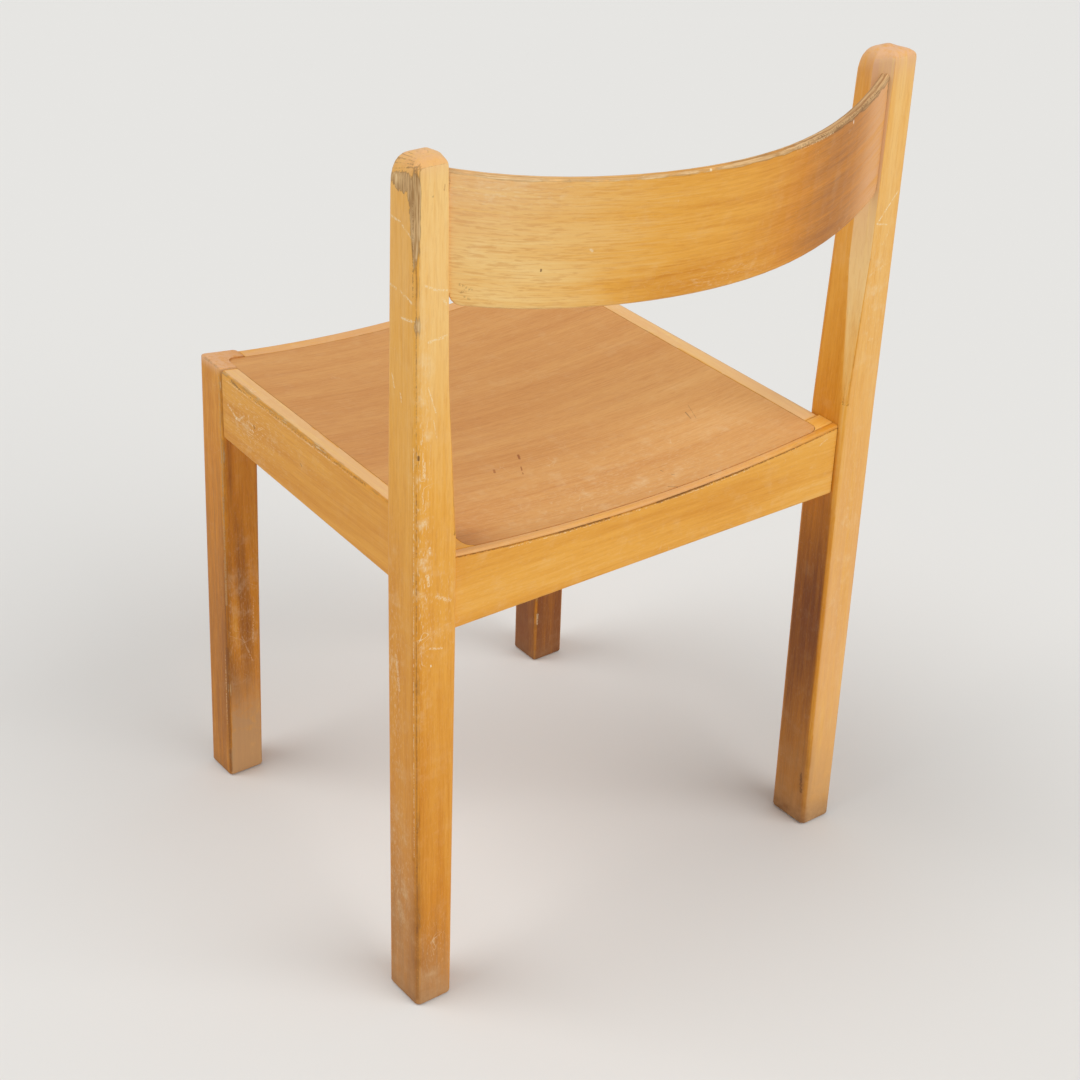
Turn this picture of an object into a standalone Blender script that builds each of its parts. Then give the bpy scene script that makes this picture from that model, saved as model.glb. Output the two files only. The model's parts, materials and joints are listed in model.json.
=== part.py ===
"""Small stacking chair in lacquered wood.

Metres, +Z up. The front faces -Y, the sitter's left is +X, and the origin is on the floor
under the middle of the chair. Two square front legs stand in the corners of a seat frame,
two bent rear posts stand outside it, and a curved laminated backrest joins the posts.
"""

import math

import bmesh
import bpy
from mathutils import Vector

# Clearances
GAP = 0.0003
DOWEL_END_GAP = 0.0008

# Seat frame
SEAT_HEIGHT = 0.4488
SEAT_DROP = 0.0132
FRAME_DEPTH = 0.4097
FRAME_FRONT_WIDTH = 0.4024
FRAME_REAR_WIDTH = 0.4123
FRONT_DISH = 0.0136
REAR_DISH = 0.0125
RAIL_THICKNESS = 0.024
FRONT_RAIL_HEIGHT = 0.068
REAR_RAIL_HEIGHT = 0.0685
SIDE_RAIL_FRONT_HEIGHT = 0.068
SIDE_RAIL_REAR_HEIGHT = 0.0713
RAIL_ARRIS = 0.003
RAIL_LOWER_ARRIS = 0.002

# Seat panel and the lipping behind it
PANEL_THICKNESS = 0.008
PANEL_CORNER = 0.009
SIDE_LAND = 0.0165
FRONT_LAND = 0.016
LIP_WIDTH = 0.0065
LIP_THICKNESS = 0.003
LIP_ARRIS = 0.002
SEAM_ARRIS = 0.0008

# Front legs
LEG_WIDTH = 0.0376
LEG_DEPTH = 0.0383
LEG_PROUD = 0.0013
LEG_TOP_PROUD = 0.0012
LEG_SPLAY = 0.0062
LEG_RAKE = 0.0064
LEG_ARRIS = 0.004
LEG_TOP_ARRIS = 0.002

# Rear posts
POST_HEIGHT = 0.770
LEFT_POST_SHORT = 0.007
POST_FLOOR_WIDTH = 0.0363
POST_SEAT_WIDTH = 0.0403
POST_TOP_WIDTH = 0.0357
POST_SPLAY = 0.0011
POST_FLOOR_DEPTH = 0.0449
POST_SEAT_DEPTH = 0.0421
POST_TOP_DEPTH = 0.0358
POST_PROUD = 0.005
POST_RAKE = 0.0034
POST_TOP_LEAN = 0.0007
POST_ARRIS = 0.0055
POST_ROLL_FRONT = 0.030
POST_ROLL_REAR = 0.007
POST_ROLL_INSET = 0.0145
POST_ROLL_POWER = 2.6
POST_CROWN = 0.0015
KNEE_RISE = 0.012
FOOT_CHAMFER = 0.0015

# Facet on the inner rear corner of each post, where the backrest butts
FACET_WIDTH = 0.0085
FACET_DEPTH = 0.016
FACET_ARRIS = 0.0012
FACET_START = 0.007
FACET_FULL = 0.142

# Backrest
BACK_THICKNESS = 0.008
BACK_HEIGHT = 0.1023
BACK_CENTRE_DROP = 0.0825
BACK_SAGITTA = 0.0685
BACK_BOW_TIGHTNESS = 1.2
BACK_LEAN = math.radians(6.0)
BACK_END_RISE = 0.0118
BACK_INSET = 0.0025
BACK_ARRIS = 0.0025
BACK_CORNER = 0.008

# Hidden joints
DOWEL_RADIUS = 0.004
DOWEL_LENGTH = 0.036
REAR_DOWEL_LENGTH = 0.028
BACK_DOWEL_RADIUS = 0.002
BACK_DOWEL_LENGTH = 0.030
BACK_DOWEL_SPACING = 0.056
REAR_BLOCK_LENGTH = 0.050
FRONT_BLOCK_LENGTH = 0.070
BLOCK_HEIGHT = 0.030
BLOCK_TOP_DROP = 0.012
SCREW_RADIUS = 0.002
SCREW_HEAD_RADIUS = 0.004
SCREW_HEAD_HEIGHT = 0.0025
SCREW_LENGTH = 0.030
SCREW_GRIP = 0.012
REAR_SCREW_OFFSET = 0.022
FRONT_SCREW_OFFSET = 0.038
SCREW_LEVEL = 0.0075

# Facets of curves
ARC_STEPS = 4
ROLL_STEPS = 7
CORNER_STEPS = 5
CROWN_SHARES = (0.6, 0.25)
DISH_STEPS = 16
BACK_STEPS = 24
ROUND_SIDES = 12
HALVINGS = 40

WOOD_AMBER = (0.62, 0.32, 0.10)
WOOD_TAN = (0.66, 0.42, 0.20)
WOOD_SEAT = (0.56, 0.33, 0.18)
WOOD_PALE = (0.70, 0.50, 0.29)
STEEL = (0.45, 0.44, 0.42)


def lerp(a, b, t):
    return a + (b - a) * t


# Plan and height of the seat frame

FRAME_FRONT_HALF = FRAME_FRONT_WIDTH / 2
FRAME_REAR_HALF = FRAME_REAR_WIDTH / 2
POST_SEAT_INNER = FRAME_REAR_HALF + GAP
KNEE_HEIGHT = SEAT_HEIGHT - SEAT_DROP + KNEE_RISE
BACK_CENTRE = POST_HEIGHT - BACK_CENTRE_DROP
POST_REAR_RISE = POST_TOP_LEAN * (BACK_CENTRE - KNEE_HEIGHT) / (POST_HEIGHT - KNEE_HEIGHT)
BACK_REACH = BACK_SAGITTA + math.sin(BACK_LEAN) * (BACK_HEIGHT / 2 - BACK_ARRIS)
FRONT_OVERHANG = LEG_PROUD + LEG_RAKE
REAR_OVERHANG = POST_PROUD + POST_REAR_RISE - BACK_INSET + BACK_REACH
FRAME_FRONT_Y = (FRONT_OVERHANG - REAR_OVERHANG - FRAME_DEPTH) / 2
FRAME_REAR_Y = FRAME_FRONT_Y + FRAME_DEPTH


def along_frame(y):
    return (y - FRAME_FRONT_Y) / FRAME_DEPTH


def frame_half(y):
    return lerp(FRAME_FRONT_HALF, FRAME_REAR_HALF, along_frame(y))


def side_top(y):
    return SEAT_HEIGHT - SEAT_DROP * along_frame(y)


def seat_top(x, y):
    """Height of the dished seat surface."""
    across = x / frame_half(y)
    dish = lerp(FRONT_DISH, REAR_DISH, along_frame(y))
    return side_top(y) - dish * (1 - across * across)


def leg_outer(z):
    return FRAME_FRONT_HALF + LEG_PROUD + LEG_SPLAY * (1 - z / SEAT_HEIGHT)


def leg_inner(z):
    return leg_outer(z) - LEG_WIDTH


def leg_front(z):
    return FRAME_FRONT_Y - LEG_PROUD - LEG_RAKE * (1 - z / SEAT_HEIGHT)


def leg_rear(z):
    return leg_front(z) + LEG_DEPTH


def side_rail_bottom(y):
    height = lerp(SIDE_RAIL_FRONT_HEIGHT, SIDE_RAIL_REAR_HEIGHT, along_frame(y))
    return side_top(y) - height


FRONT_RAIL_REAR_Y = FRAME_FRONT_Y + RAIL_THICKNESS
REAR_RAIL_FRONT_Y = FRAME_REAR_Y - RAIL_THICKNESS
FRONT_RAIL_BOTTOM = SEAT_HEIGHT - FRONT_RAIL_HEIGHT
REAR_RAIL_BOTTOM = side_top(FRAME_REAR_Y) - REAR_RAIL_HEIGHT


# Rear post outline

RAIL_FOOT = side_rail_bottom(FRAME_REAR_Y)


def post_rear(z):
    if z < KNEE_HEIGHT:
        return FRAME_REAR_Y + POST_PROUD + POST_RAKE * (1 - z / KNEE_HEIGHT)
    up = (z - KNEE_HEIGHT) / (POST_HEIGHT - KNEE_HEIGHT)
    return FRAME_REAR_Y + POST_PROUD + POST_TOP_LEAN * up


def post_depth(z):
    if z < KNEE_HEIGHT:
        return lerp(POST_FLOOR_DEPTH, POST_SEAT_DEPTH, z / KNEE_HEIGHT)
    up = (z - KNEE_HEIGHT) / (POST_HEIGHT - KNEE_HEIGHT)
    return lerp(POST_SEAT_DEPTH, POST_TOP_DEPTH, up)


def post_outer(z):
    return POST_SEAT_INNER + POST_SEAT_WIDTH + POST_SPLAY * (z / KNEE_HEIGHT - 1)


def post_inner(z, y):
    """Upright against the seat frame, tapering above and below, and splayed in plan like the frame."""
    taper = FRAME_REAR_HALF - frame_half(y)
    if z < RAIL_FOOT:
        return lerp(post_outer(0) - POST_FLOOR_WIDTH, POST_SEAT_INNER, z / RAIL_FOOT) - taper
    if z < KNEE_HEIGHT:
        return POST_SEAT_INNER - taper
    up = (z - KNEE_HEIGHT) / (POST_HEIGHT - KNEE_HEIGHT)
    return lerp(POST_SEAT_INNER, post_outer(POST_HEIGHT) - POST_TOP_WIDTH, up) - taper


# Meshes

def material(name, colour, roughness, metallic=0.0):
    made = bpy.data.materials.new(name)
    made.use_nodes = True
    shader = made.node_tree.nodes["Principled BSDF"]
    shader.inputs["Base Color"].default_value = (*colour, 1.0)
    shader.inputs["Roughness"].default_value = roughness
    shader.inputs["Metallic"].default_value = metallic
    return made


def add_object(name, mesh, finish, parent, location):
    mesh.materials.append(finish)
    made = bpy.data.objects.new(name, mesh)
    made.location = location
    made.parent = parent
    bpy.context.scene.collection.objects.link(made)
    return made


def skin(name, rings, finish, parent, smooth=30.0):
    """A closed solid through rings of points, with its origin in the middle of the first ring."""
    origin = sum((Vector(point) for point in rings[0]), Vector()) / len(rings[0])
    shape = bmesh.new()
    loops = [[shape.verts.new(Vector(point) - origin) for point in ring] for ring in rings]
    count = len(rings[0])
    for low, high in zip(loops, loops[1:]):
        for i in range(count):
            j = (i + 1) % count
            shape.faces.new((low[i], low[j], high[j], high[i]))
    shape.faces.new(reversed(loops[0]))
    shape.faces.new(loops[-1])
    bmesh.ops.recalc_face_normals(shape, faces=shape.faces)
    mesh = bpy.data.meshes.new(name)
    shape.to_mesh(mesh)
    shape.free()
    mesh.shade_smooth()
    mesh.set_sharp_from_angle(angle=math.radians(smooth))
    return add_object(name, mesh, finish, parent, origin)


def turned(name, profile, finish, parent, start, direction):
    """A solid of revolution from (height, radius) pairs, placed along a direction."""
    rings = []
    for height, radius in profile:
        ring = []
        for i in range(ROUND_SIDES):
            angle = math.tau * i / ROUND_SIDES
            ring.append((radius * math.cos(angle), radius * math.sin(angle), height))
        rings.append(ring)
    made = skin(name, rings, finish, parent, 50.0)
    made.rotation_mode = "QUATERNION"
    made.rotation_quaternion = Vector(direction).to_track_quat("Z", "Y")
    made.location = Vector(start) + Vector(direction).normalized() * profile[0][0]
    return made


def as_cutter(tool):
    tool.hide_render = True
    tool.display_type = "WIRE"
    return tool


def cut(piece, tool):
    modifier = piece.modifiers.new(tool.name, "BOOLEAN")
    modifier.operation = "DIFFERENCE"
    modifier.solver = "EXACT"
    modifier.object = tool


def rounded(corners, radii, steps=ARC_STEPS):
    """A closed outline in two axes with each corner rounded by its own radius."""
    outline = []
    count = len(corners)
    for i, corner in enumerate(corners):
        here = Vector(corner)
        before = (here - Vector(corners[i - 1])).normalized()
        after = (Vector(corners[(i + 1) % count]) - here).normalized()
        turn = before.angle_signed(after)
        reach = radii[i] * math.tan(abs(turn) / 2)
        start = here - before * reach
        side = math.copysign(1.0, turn)
        centre = start + Vector((before.y, -before.x)) * radii[i] * side
        spoke = start - centre
        for step in range(steps + 1):
            angle = -turn * step / steps
            cos, sin = math.cos(angle), math.sin(angle)
            outline.append(
                (centre.x + spoke.x * cos - spoke.y * sin, centre.y + spoke.x * sin + spoke.y * cos)
            )
    return outline


def shrunk(outline, amount):
    """The outline moved inwards by an amount, measured towards its middle along each axis."""
    xs = [x for x, _ in outline]
    ys = [y for _, y in outline]
    middle_x, middle_y = (min(xs) + max(xs)) / 2, (min(ys) + max(ys)) / 2
    scale_x = 1 - 2 * amount / (max(xs) - min(xs))
    scale_y = 1 - 2 * amount / (max(ys) - min(ys))
    return [(middle_x + (x - middle_x) * scale_x, middle_y + (y - middle_y) * scale_y) for x, y in outline]


def sides():
    return (("left", 1), ("right", -1))


# Front legs

def leg_section(z):
    corners = [
        (leg_outer(z), leg_front(z)),
        (leg_outer(z), leg_rear(z)),
        (leg_inner(z), leg_rear(z)),
        (leg_inner(z), leg_front(z)),
    ]
    return rounded(corners, [LEG_ARRIS] * 4)


def front_leg(side, sign, finish, parent):
    rings = [
        [(sign * x, y, 0.0) for x, y in shrunk(leg_section(0.0), FOOT_CHAMFER)],
        [(sign * x, y, FOOT_CHAMFER) for x, y in leg_section(FOOT_CHAMFER)],
    ]
    top = leg_section(SEAT_HEIGHT)
    for step in range(ARC_STEPS + 1):
        angle = math.pi / 2 * step / ARC_STEPS
        drop = LEG_TOP_ARRIS * (1 - math.sin(angle))
        inset = LEG_TOP_ARRIS * (1 - math.cos(angle))
        ring = shrunk(top, inset)
        rings.append([(sign * x, y, seat_top(x, y) + LEG_TOP_PROUD - drop) for x, y in ring])
    return skin(f"front_leg_{side}", rings, finish, parent)


# Rear posts

def facet_share(z):
    """How far the facet has grown at this height, from none to full size."""
    start = KNEE_HEIGHT + FACET_START
    full = KNEE_HEIGHT + FACET_FULL
    return min(max((z - start) / (full - start), 0.0), 1.0)


def post_section(z):
    rear = post_rear(z)
    front = rear - post_depth(z)
    share = facet_share(z)
    plain = POST_ARRIS * (1 - math.tan(math.pi / 8))
    width = lerp(plain, FACET_WIDTH, share)
    depth = lerp(plain, FACET_DEPTH, share)
    arris = lerp(POST_ARRIS, FACET_ARRIS, share)
    corners = [
        (post_outer(z), front),
        (post_outer(z), rear),
        (post_inner(z, rear) + width, rear),
        (post_inner(z, rear - depth), rear - depth),
        (post_inner(z, front), front),
    ]
    return rounded(corners, [POST_ARRIS, POST_ARRIS, arris, arris, POST_ARRIS])


def post_top(sign):
    """Rings over the top of a post: the edges roll over, most at the front, to a slight crown."""
    height = POST_HEIGHT - (LEFT_POST_SHORT if sign > 0 else 0.0)
    base = post_section(height - POST_ROLL_FRONT)
    ys = [y for _, y in base]
    rear, depth = max(ys), max(ys) - min(ys)
    level = height - POST_CROWN
    rings = []
    for step in range(ROLL_STEPS + 1):
        angle = math.pi / 2 * step / ROLL_STEPS
        inwards = 1 - math.cos(angle) ** (2 / POST_ROLL_POWER)
        upwards = math.sin(angle) ** (2 / POST_ROLL_POWER)
        ring = []
        for (x, y), (_, before) in zip(shrunk(base, POST_ROLL_INSET * inwards), base):
            roll = lerp(POST_ROLL_REAR, POST_ROLL_FRONT, (rear - before) / depth)
            ring.append((sign * x, y, level - roll * (1 - upwards)))
        rings.append(ring)
    flat = [(sign * x, y) for x, y in shrunk(base, POST_ROLL_INSET)]
    middle = sum((Vector(point) for point in flat), Vector((0.0, 0.0))) / len(flat)
    for share in CROWN_SHARES:
        ring = [middle.lerp(Vector(point), share) for point in flat]
        rings.append([(point.x, point.y, height - POST_CROWN * share * share) for point in ring])
    return rings


def rear_post(side, sign, finish, parent):
    rings = [[(sign * x, y, 0.0) for x, y in shrunk(post_section(0.0), FOOT_CHAMFER)]]
    levels = [FOOT_CHAMFER, RAIL_FOOT, KNEE_HEIGHT]
    levels += [KNEE_HEIGHT + FACET_START, KNEE_HEIGHT + FACET_FULL]
    for z in levels:
        rings.append([(sign * x, y, z) for x, y in post_section(z)])
    rings += post_top(sign)
    return skin(f"rear_post_{side}", rings, finish, parent, 40.0)


# Rails

def dish_stations(half):
    return [half * (2 * i / DISH_STEPS - 1) for i in range(DISH_STEPS + 1)]


def front_rail(finish, parent):
    rings = []
    for share in dish_stations(1.0):
        top = seat_top(share * leg_inner(SEAT_HEIGHT), FRAME_FRONT_Y)
        inner_top = seat_top(share * leg_inner(SEAT_HEIGHT), FRONT_RAIL_REAR_Y)
        corners = [
            (FRAME_FRONT_Y, FRONT_RAIL_BOTTOM),
            (FRAME_FRONT_Y, top),
            (FRONT_RAIL_REAR_Y, inner_top),
            (FRONT_RAIL_REAR_Y, FRONT_RAIL_BOTTOM),
        ]
        outline = rounded(corners, [RAIL_LOWER_ARRIS, RAIL_ARRIS, RAIL_LOWER_ARRIS, RAIL_LOWER_ARRIS])
        rings.append([(share * (leg_inner(z) - GAP), y, z) for y, z in outline])
    return skin("front_rail", rings, finish, parent)


def rear_rail(finish, parent):
    lip_y = FRAME_REAR_Y - LIP_WIDTH
    rings = []
    for share in dish_stations(1.0):
        rear_top = seat_top(share * frame_half(FRAME_REAR_Y), FRAME_REAR_Y) - LIP_THICKNESS - GAP
        step_low = seat_top(share * frame_half(lip_y), lip_y) - LIP_THICKNESS - GAP
        step_top = seat_top(share * frame_half(lip_y), lip_y)
        front_top = seat_top(share * frame_half(REAR_RAIL_FRONT_Y), REAR_RAIL_FRONT_Y)
        corners = [
            (REAR_RAIL_FRONT_Y, REAR_RAIL_BOTTOM),
            (REAR_RAIL_FRONT_Y, front_top),
            (lip_y - GAP, step_top),
            (lip_y - GAP, step_low),
            (FRAME_REAR_Y, rear_top),
            (FRAME_REAR_Y, REAR_RAIL_BOTTOM),
        ]
        lower, seam = RAIL_LOWER_ARRIS, SEAM_ARRIS
        outline = rounded(corners, [lower, seam / 2, seam / 2, seam / 4, seam, lower], 2)
        rings.append([(share * frame_half(y), y, z) for y, z in outline])
    return skin("rear_rail", rings, finish, parent)


def rear_lip(finish, parent):
    front_y = FRAME_REAR_Y - LIP_WIDTH
    rings = []
    for share in dish_stations(1.0):
        top_front = seat_top(share * frame_half(front_y), front_y)
        top_rear = seat_top(share * frame_half(FRAME_REAR_Y), FRAME_REAR_Y)
        corners = [
            (front_y, top_front - LIP_THICKNESS),
            (front_y, top_front),
            (FRAME_REAR_Y, top_rear),
            (FRAME_REAR_Y, top_rear - LIP_THICKNESS),
        ]
        outline = rounded(corners, [SEAM_ARRIS / 2, SEAM_ARRIS, LIP_ARRIS, SEAM_ARRIS])
        rings.append([(share * frame_half(y), y, z) for y, z in outline])
    return skin("rear_lip", rings, finish, parent)


def side_rail(side, sign, finish, parent):
    """The front end follows the raked leg and the rear end butts on the rear rail."""
    rings = []
    for station in (0.0, 0.5, 1.0):
        y = lerp(leg_rear(SEAT_HEIGHT), REAR_RAIL_FRONT_Y, station)
        outer = frame_half(y)
        inner = outer - RAIL_THICKNESS
        bottom = side_rail_bottom(y)
        corners = [
            (inner, bottom),
            (outer, bottom),
            (outer, side_top(y)),
            (outer - SIDE_LAND / 2, seat_top(outer - SIDE_LAND / 2, y)),
            (inner, seat_top(inner, y)),
        ]
        lower = RAIL_LOWER_ARRIS
        outline = rounded(corners, [lower, lower, RAIL_ARRIS, lower, lower])
        ring = []
        for x, z in outline:
            start = leg_rear(z) + GAP
            end = REAR_RAIL_FRONT_Y - GAP
            ring.append((sign * x, lerp(start, end, station), z))
        rings.append(ring)
    return skin(f"side_rail_{side}", rings, finish, parent)


# Seat panel and the recess that it lies in

def panel_body(name, grow, below, above, finish, parent):
    """The panel, grown by a clearance, as strips across the dish from its front edge to its rear edge."""
    front = FRAME_FRONT_Y + FRONT_LAND - grow
    rear = FRAME_REAR_Y - LIP_WIDTH - GAP + grow
    radius = PANEL_CORNER + grow
    half_rear = frame_half(rear) - SIDE_LAND + grow
    straight = (half_rear - radius) / half_rear
    shares = [straight * i / (DISH_STEPS / 2) for i in range(DISH_STEPS // 2 + 1)]
    inset = {share: 0.0 for share in shares}
    for step in range(1, CORNER_STEPS + 1):
        angle = math.pi / 2 * step / CORNER_STEPS
        share = straight + (1 - straight) * math.sin(angle)
        shares.append(share)
        inset[share] = radius * (1 - math.cos(angle))
    ordered = [-share for share in reversed(shares) if share > 0] + shares
    rings = []
    for share in ordered:
        trim = inset[abs(share)]
        ring = []
        for y, lift in (
            (front + trim, -below),
            (rear - trim, -below),
            (rear - trim, above),
            (front + trim, above),
        ):
            half = frame_half(y) - SIDE_LAND + grow
            x = share * half
            ring.append((x, y, seat_top(x, y) + lift))
        rings.append(ring)
    return skin(name, rings, finish, parent)


def seat_panel(finish, parent):
    return panel_body("seat_panel", 0.0, PANEL_THICKNESS, 0.0, finish, parent)


def seat_recess(finish, parent):
    return as_cutter(
        panel_body("seat_recess", GAP, PANEL_THICKNESS + GAP, 2 * PANEL_THICKNESS, finish, parent)
    )


# Backrest

BACK_END_Y = post_rear(BACK_CENTRE) - BACK_INSET
BACK_END_X = post_inner(BACK_CENTRE, BACK_END_Y) + FACET_WIDTH * (1 - BACK_INSET / FACET_DEPTH)


def back_point(across, height, depth):
    """A point of the board: across from -1 to 1, height from its middle, depth from its rear face."""
    square = across * across
    tight = BACK_BOW_TIGHTNESS**2
    root = math.sqrt(1 + tight * square)
    spread = math.sqrt(1 + tight) - 1
    bow = 1 - (root - 1) / spread
    slope = -tight * across / (root * spread)
    lean = BACK_LEAN * (1 - square)
    middle = Vector(
        (across * BACK_END_X, BACK_END_Y + BACK_SAGITTA * bow, BACK_CENTRE + BACK_END_RISE * square * square)
    )
    upward = Vector((0.0, math.sin(lean), math.cos(lean)))
    tangent = Vector((BACK_END_X, BACK_SAGITTA * slope, 0.0)).normalized()
    normal = tangent.cross(upward).normalized()
    return middle + upward * height + normal * depth


def facet_plane():
    """A point on the left post's facet and its normal, facing the backrest."""
    low, high = KNEE_HEIGHT + FACET_FULL, POST_HEIGHT - LEFT_POST_SHORT - POST_ROLL_FRONT

    def rear_edge(z):
        return Vector((post_inner(z, post_rear(z)) + FACET_WIDTH, post_rear(z), z))

    def front_edge(z):
        y = post_rear(z) - FACET_DEPTH
        return Vector((post_inner(z, y), y, z))

    normal = (rear_edge(high) - rear_edge(low)).cross(front_edge(low) - rear_edge(low)).normalized()
    if normal.x > 0:
        normal = -normal
    return rear_edge(low), normal


ON_FACET, FACET_NORMAL = facet_plane()


def back_end(height, depth):
    """How far across the board a line at this height and depth runs before it meets the facet.

    The crossing is found by halving the stretch from the middle to twice the reach.
    """
    low, high = 0.0, 2.0
    for _ in range(HALVINGS):
        middle = (low + high) / 2
        clear = (back_point(middle, height, depth) - ON_FACET).dot(FACET_NORMAL)
        if clear > GAP:
            low = middle
        else:
            high = middle
    return low


def backrest(finish, parent):
    corner_share = BACK_CORNER / BACK_END_X
    arc = [math.pi / 2 * i / CORNER_STEPS for i in range(1, CORNER_STEPS + 1)]
    plain = 1 - corner_share
    shares = [plain * i / (BACK_STEPS / 2) for i in range(BACK_STEPS // 2 + 1)]
    drops = [0.0] * len(shares)
    for angle in arc:
        shares.append(plain + corner_share * math.sin(angle))
        drops.append(BACK_CORNER * (1 - math.cos(angle)))
    ordered = [(-share, drop) for share, drop in reversed(list(zip(shares, drops))) if share > 0]
    ordered += list(zip(shares, drops))
    rings = []
    for share, drop in ordered:
        low = -BACK_HEIGHT / 2 + drop
        high = BACK_HEIGHT / 2
        corners = [(0.0, low), (BACK_THICKNESS, low), (BACK_THICKNESS, high), (0.0, high)]
        ring = []
        for depth, height in rounded(corners, [BACK_ARRIS] * 4):
            ring.append(back_point(share * back_end(height, depth), height, depth))
        rings.append(ring)
    return skin("backrest", rings, finish, parent)


# Dowels

def dowel(name, middle, direction, length, radius, finish, parent, pieces):
    """A dowel with its hole in each of the two pieces that it joins."""
    axis = Vector(direction).normalized()
    centre = Vector(middle)
    chamfer = radius / 4
    profile = [
        (-length / 2, radius - chamfer),
        (chamfer - length / 2, radius),
        (length / 2 - chamfer, radius),
        (length / 2, radius - chamfer),
    ]
    turned(name, profile, finish, parent, centre, axis)
    reach = length / 2 + DOWEL_END_GAP
    bore = [(-reach, radius + GAP), (reach, radius + GAP)]
    hole = as_cutter(turned(f"hole_for_{name}", bore, finish, parent, centre, axis))
    for piece in pieces:
        cut(piece, hole)


def rail_levels(bottom, top):
    """Four dowel heights shared evenly over the part of a rail below the seat panel."""
    usable = top - PANEL_THICKNESS - GAP - bottom
    return [bottom + usable * (i + 1) / 5 for i in range(4)]


def frame_dowels(made, finish, parent):
    front_y = FRAME_FRONT_Y + RAIL_THICKNESS / 2
    rear_y = FRAME_REAR_Y - RAIL_THICKNESS / 2
    leg_levels = rail_levels(FRONT_RAIL_BOTTOM, seat_top(leg_inner(SEAT_HEIGHT), front_y))
    rear_levels = rail_levels(REAR_RAIL_BOTTOM, seat_top(frame_half(rear_y) - SIDE_LAND, rear_y))
    for side, sign in sides():
        leg = made[f"front_leg_{side}"]
        rail = made[f"side_rail_{side}"]
        post = made[f"rear_post_{side}"]
        for number, (low, high) in enumerate((leg_levels[:2], leg_levels[2:]), 1):
            y = leg_rear(low)
            place = (sign * (frame_half(y) - RAIL_THICKNESS / 2), y, low)
            name = f"dowel_leg_side_rail_{side}_{number}"
            dowel(name, place, (0, 1, 0), DOWEL_LENGTH, DOWEL_RADIUS, finish, parent, (leg, rail))
            place = (sign * leg_inner(high), front_y, high)
            name = f"dowel_leg_front_rail_{side}_{number}"
            pieces = (leg, made["front_rail"])
            dowel(name, place, (1, 0, 0), DOWEL_LENGTH, DOWEL_RADIUS, finish, parent, pieces)
        for number, (low, high) in enumerate((rear_levels[:2], rear_levels[2:]), 1):
            x = frame_half(REAR_RAIL_FRONT_Y) - RAIL_THICKNESS / 2
            place = (sign * x, REAR_RAIL_FRONT_Y, low)
            name = f"dowel_side_rail_rear_rail_{side}_{number}"
            pieces = (rail, made["rear_rail"])
            dowel(name, place, (0, 1, 0), REAR_DOWEL_LENGTH, DOWEL_RADIUS, finish, parent, pieces)
            place = (sign * frame_half(rear_y), rear_y, high)
            name = f"dowel_post_rear_rail_{side}_{number}"
            pieces = (post, made["rear_rail"])
            dowel(name, place, (1, 0, 0), DOWEL_LENGTH, DOWEL_RADIUS, finish, parent, pieces)


def back_dowels(made, finish, parent):
    for side, sign in sides():
        for number, height in enumerate((-BACK_DOWEL_SPACING / 2, BACK_DOWEL_SPACING / 2), 1):
            depth = BACK_THICKNESS / 2
            across = back_end(height, depth)
            end = back_point(across, height, depth)
            inside = back_point(across - BACK_DOWEL_LENGTH / 2 / BACK_END_X, height, depth)
            direction = end - inside
            end.x *= sign
            direction.x *= sign
            pieces = (made[f"rear_post_{side}"], made["backrest"])
            name = f"dowel_backrest_{side}_{number}"
            dowel(name, end, direction, BACK_DOWEL_LENGTH, BACK_DOWEL_RADIUS, finish, parent, pieces)


# Corner blocks and their screws

def block_plan(end):
    """Plan of the left block at the front or the rear, and the corner that its legs run from."""
    if end == "rear":
        y = REAR_RAIL_FRONT_Y - GAP
        far = y - REAR_BLOCK_LENGTH
        side_x = frame_half(y) - RAIL_THICKNESS - GAP
        far_x = frame_half(far) - RAIL_THICKNESS - GAP
        return [(side_x, y), (side_x - REAR_BLOCK_LENGTH, y), (far_x, far)], (side_x, y)
    y = FRONT_RAIL_REAR_Y + GAP
    far = y + FRONT_BLOCK_LENGTH
    leg_x = leg_inner(SEAT_HEIGHT) - GAP
    leg_y = leg_rear(SEAT_HEIGHT) + GAP
    side_x = frame_half(y) - RAIL_THICKNESS - GAP
    near_x = frame_half(leg_y) - RAIL_THICKNESS - GAP
    far_x = frame_half(far) - RAIL_THICKNESS - GAP
    corners = [(near_x, leg_y), (leg_x, leg_y), (leg_x, y), (side_x - FRONT_BLOCK_LENGTH, y), (far_x, far)]
    return corners, (side_x, y)


def screw(name, head, direction, finish, parent, pieces):
    """A countersunk screw whose head lies at the bottom of a counterbore."""
    shank_end = SCREW_LENGTH - 3 * SCREW_RADIUS
    profile = [
        (0.0, SCREW_HEAD_RADIUS),
        (SCREW_HEAD_HEIGHT, SCREW_RADIUS),
        (shank_end, SCREW_RADIUS),
        (SCREW_LENGTH, SCREW_RADIUS / 4),
    ]
    turned(name, profile, finish, parent, head, direction)
    bore = [
        (-FRONT_BLOCK_LENGTH, SCREW_HEAD_RADIUS + 2 * GAP),
        (0.0, SCREW_HEAD_RADIUS + 2 * GAP),
        (SCREW_HEAD_HEIGHT, SCREW_RADIUS + GAP),
        (SCREW_LENGTH + DOWEL_END_GAP, SCREW_RADIUS + GAP),
    ]
    hole = as_cutter(turned(f"hole_for_{name}", bore, finish, parent, head, direction))
    for piece in pieces:
        cut(piece, hole)


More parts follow.
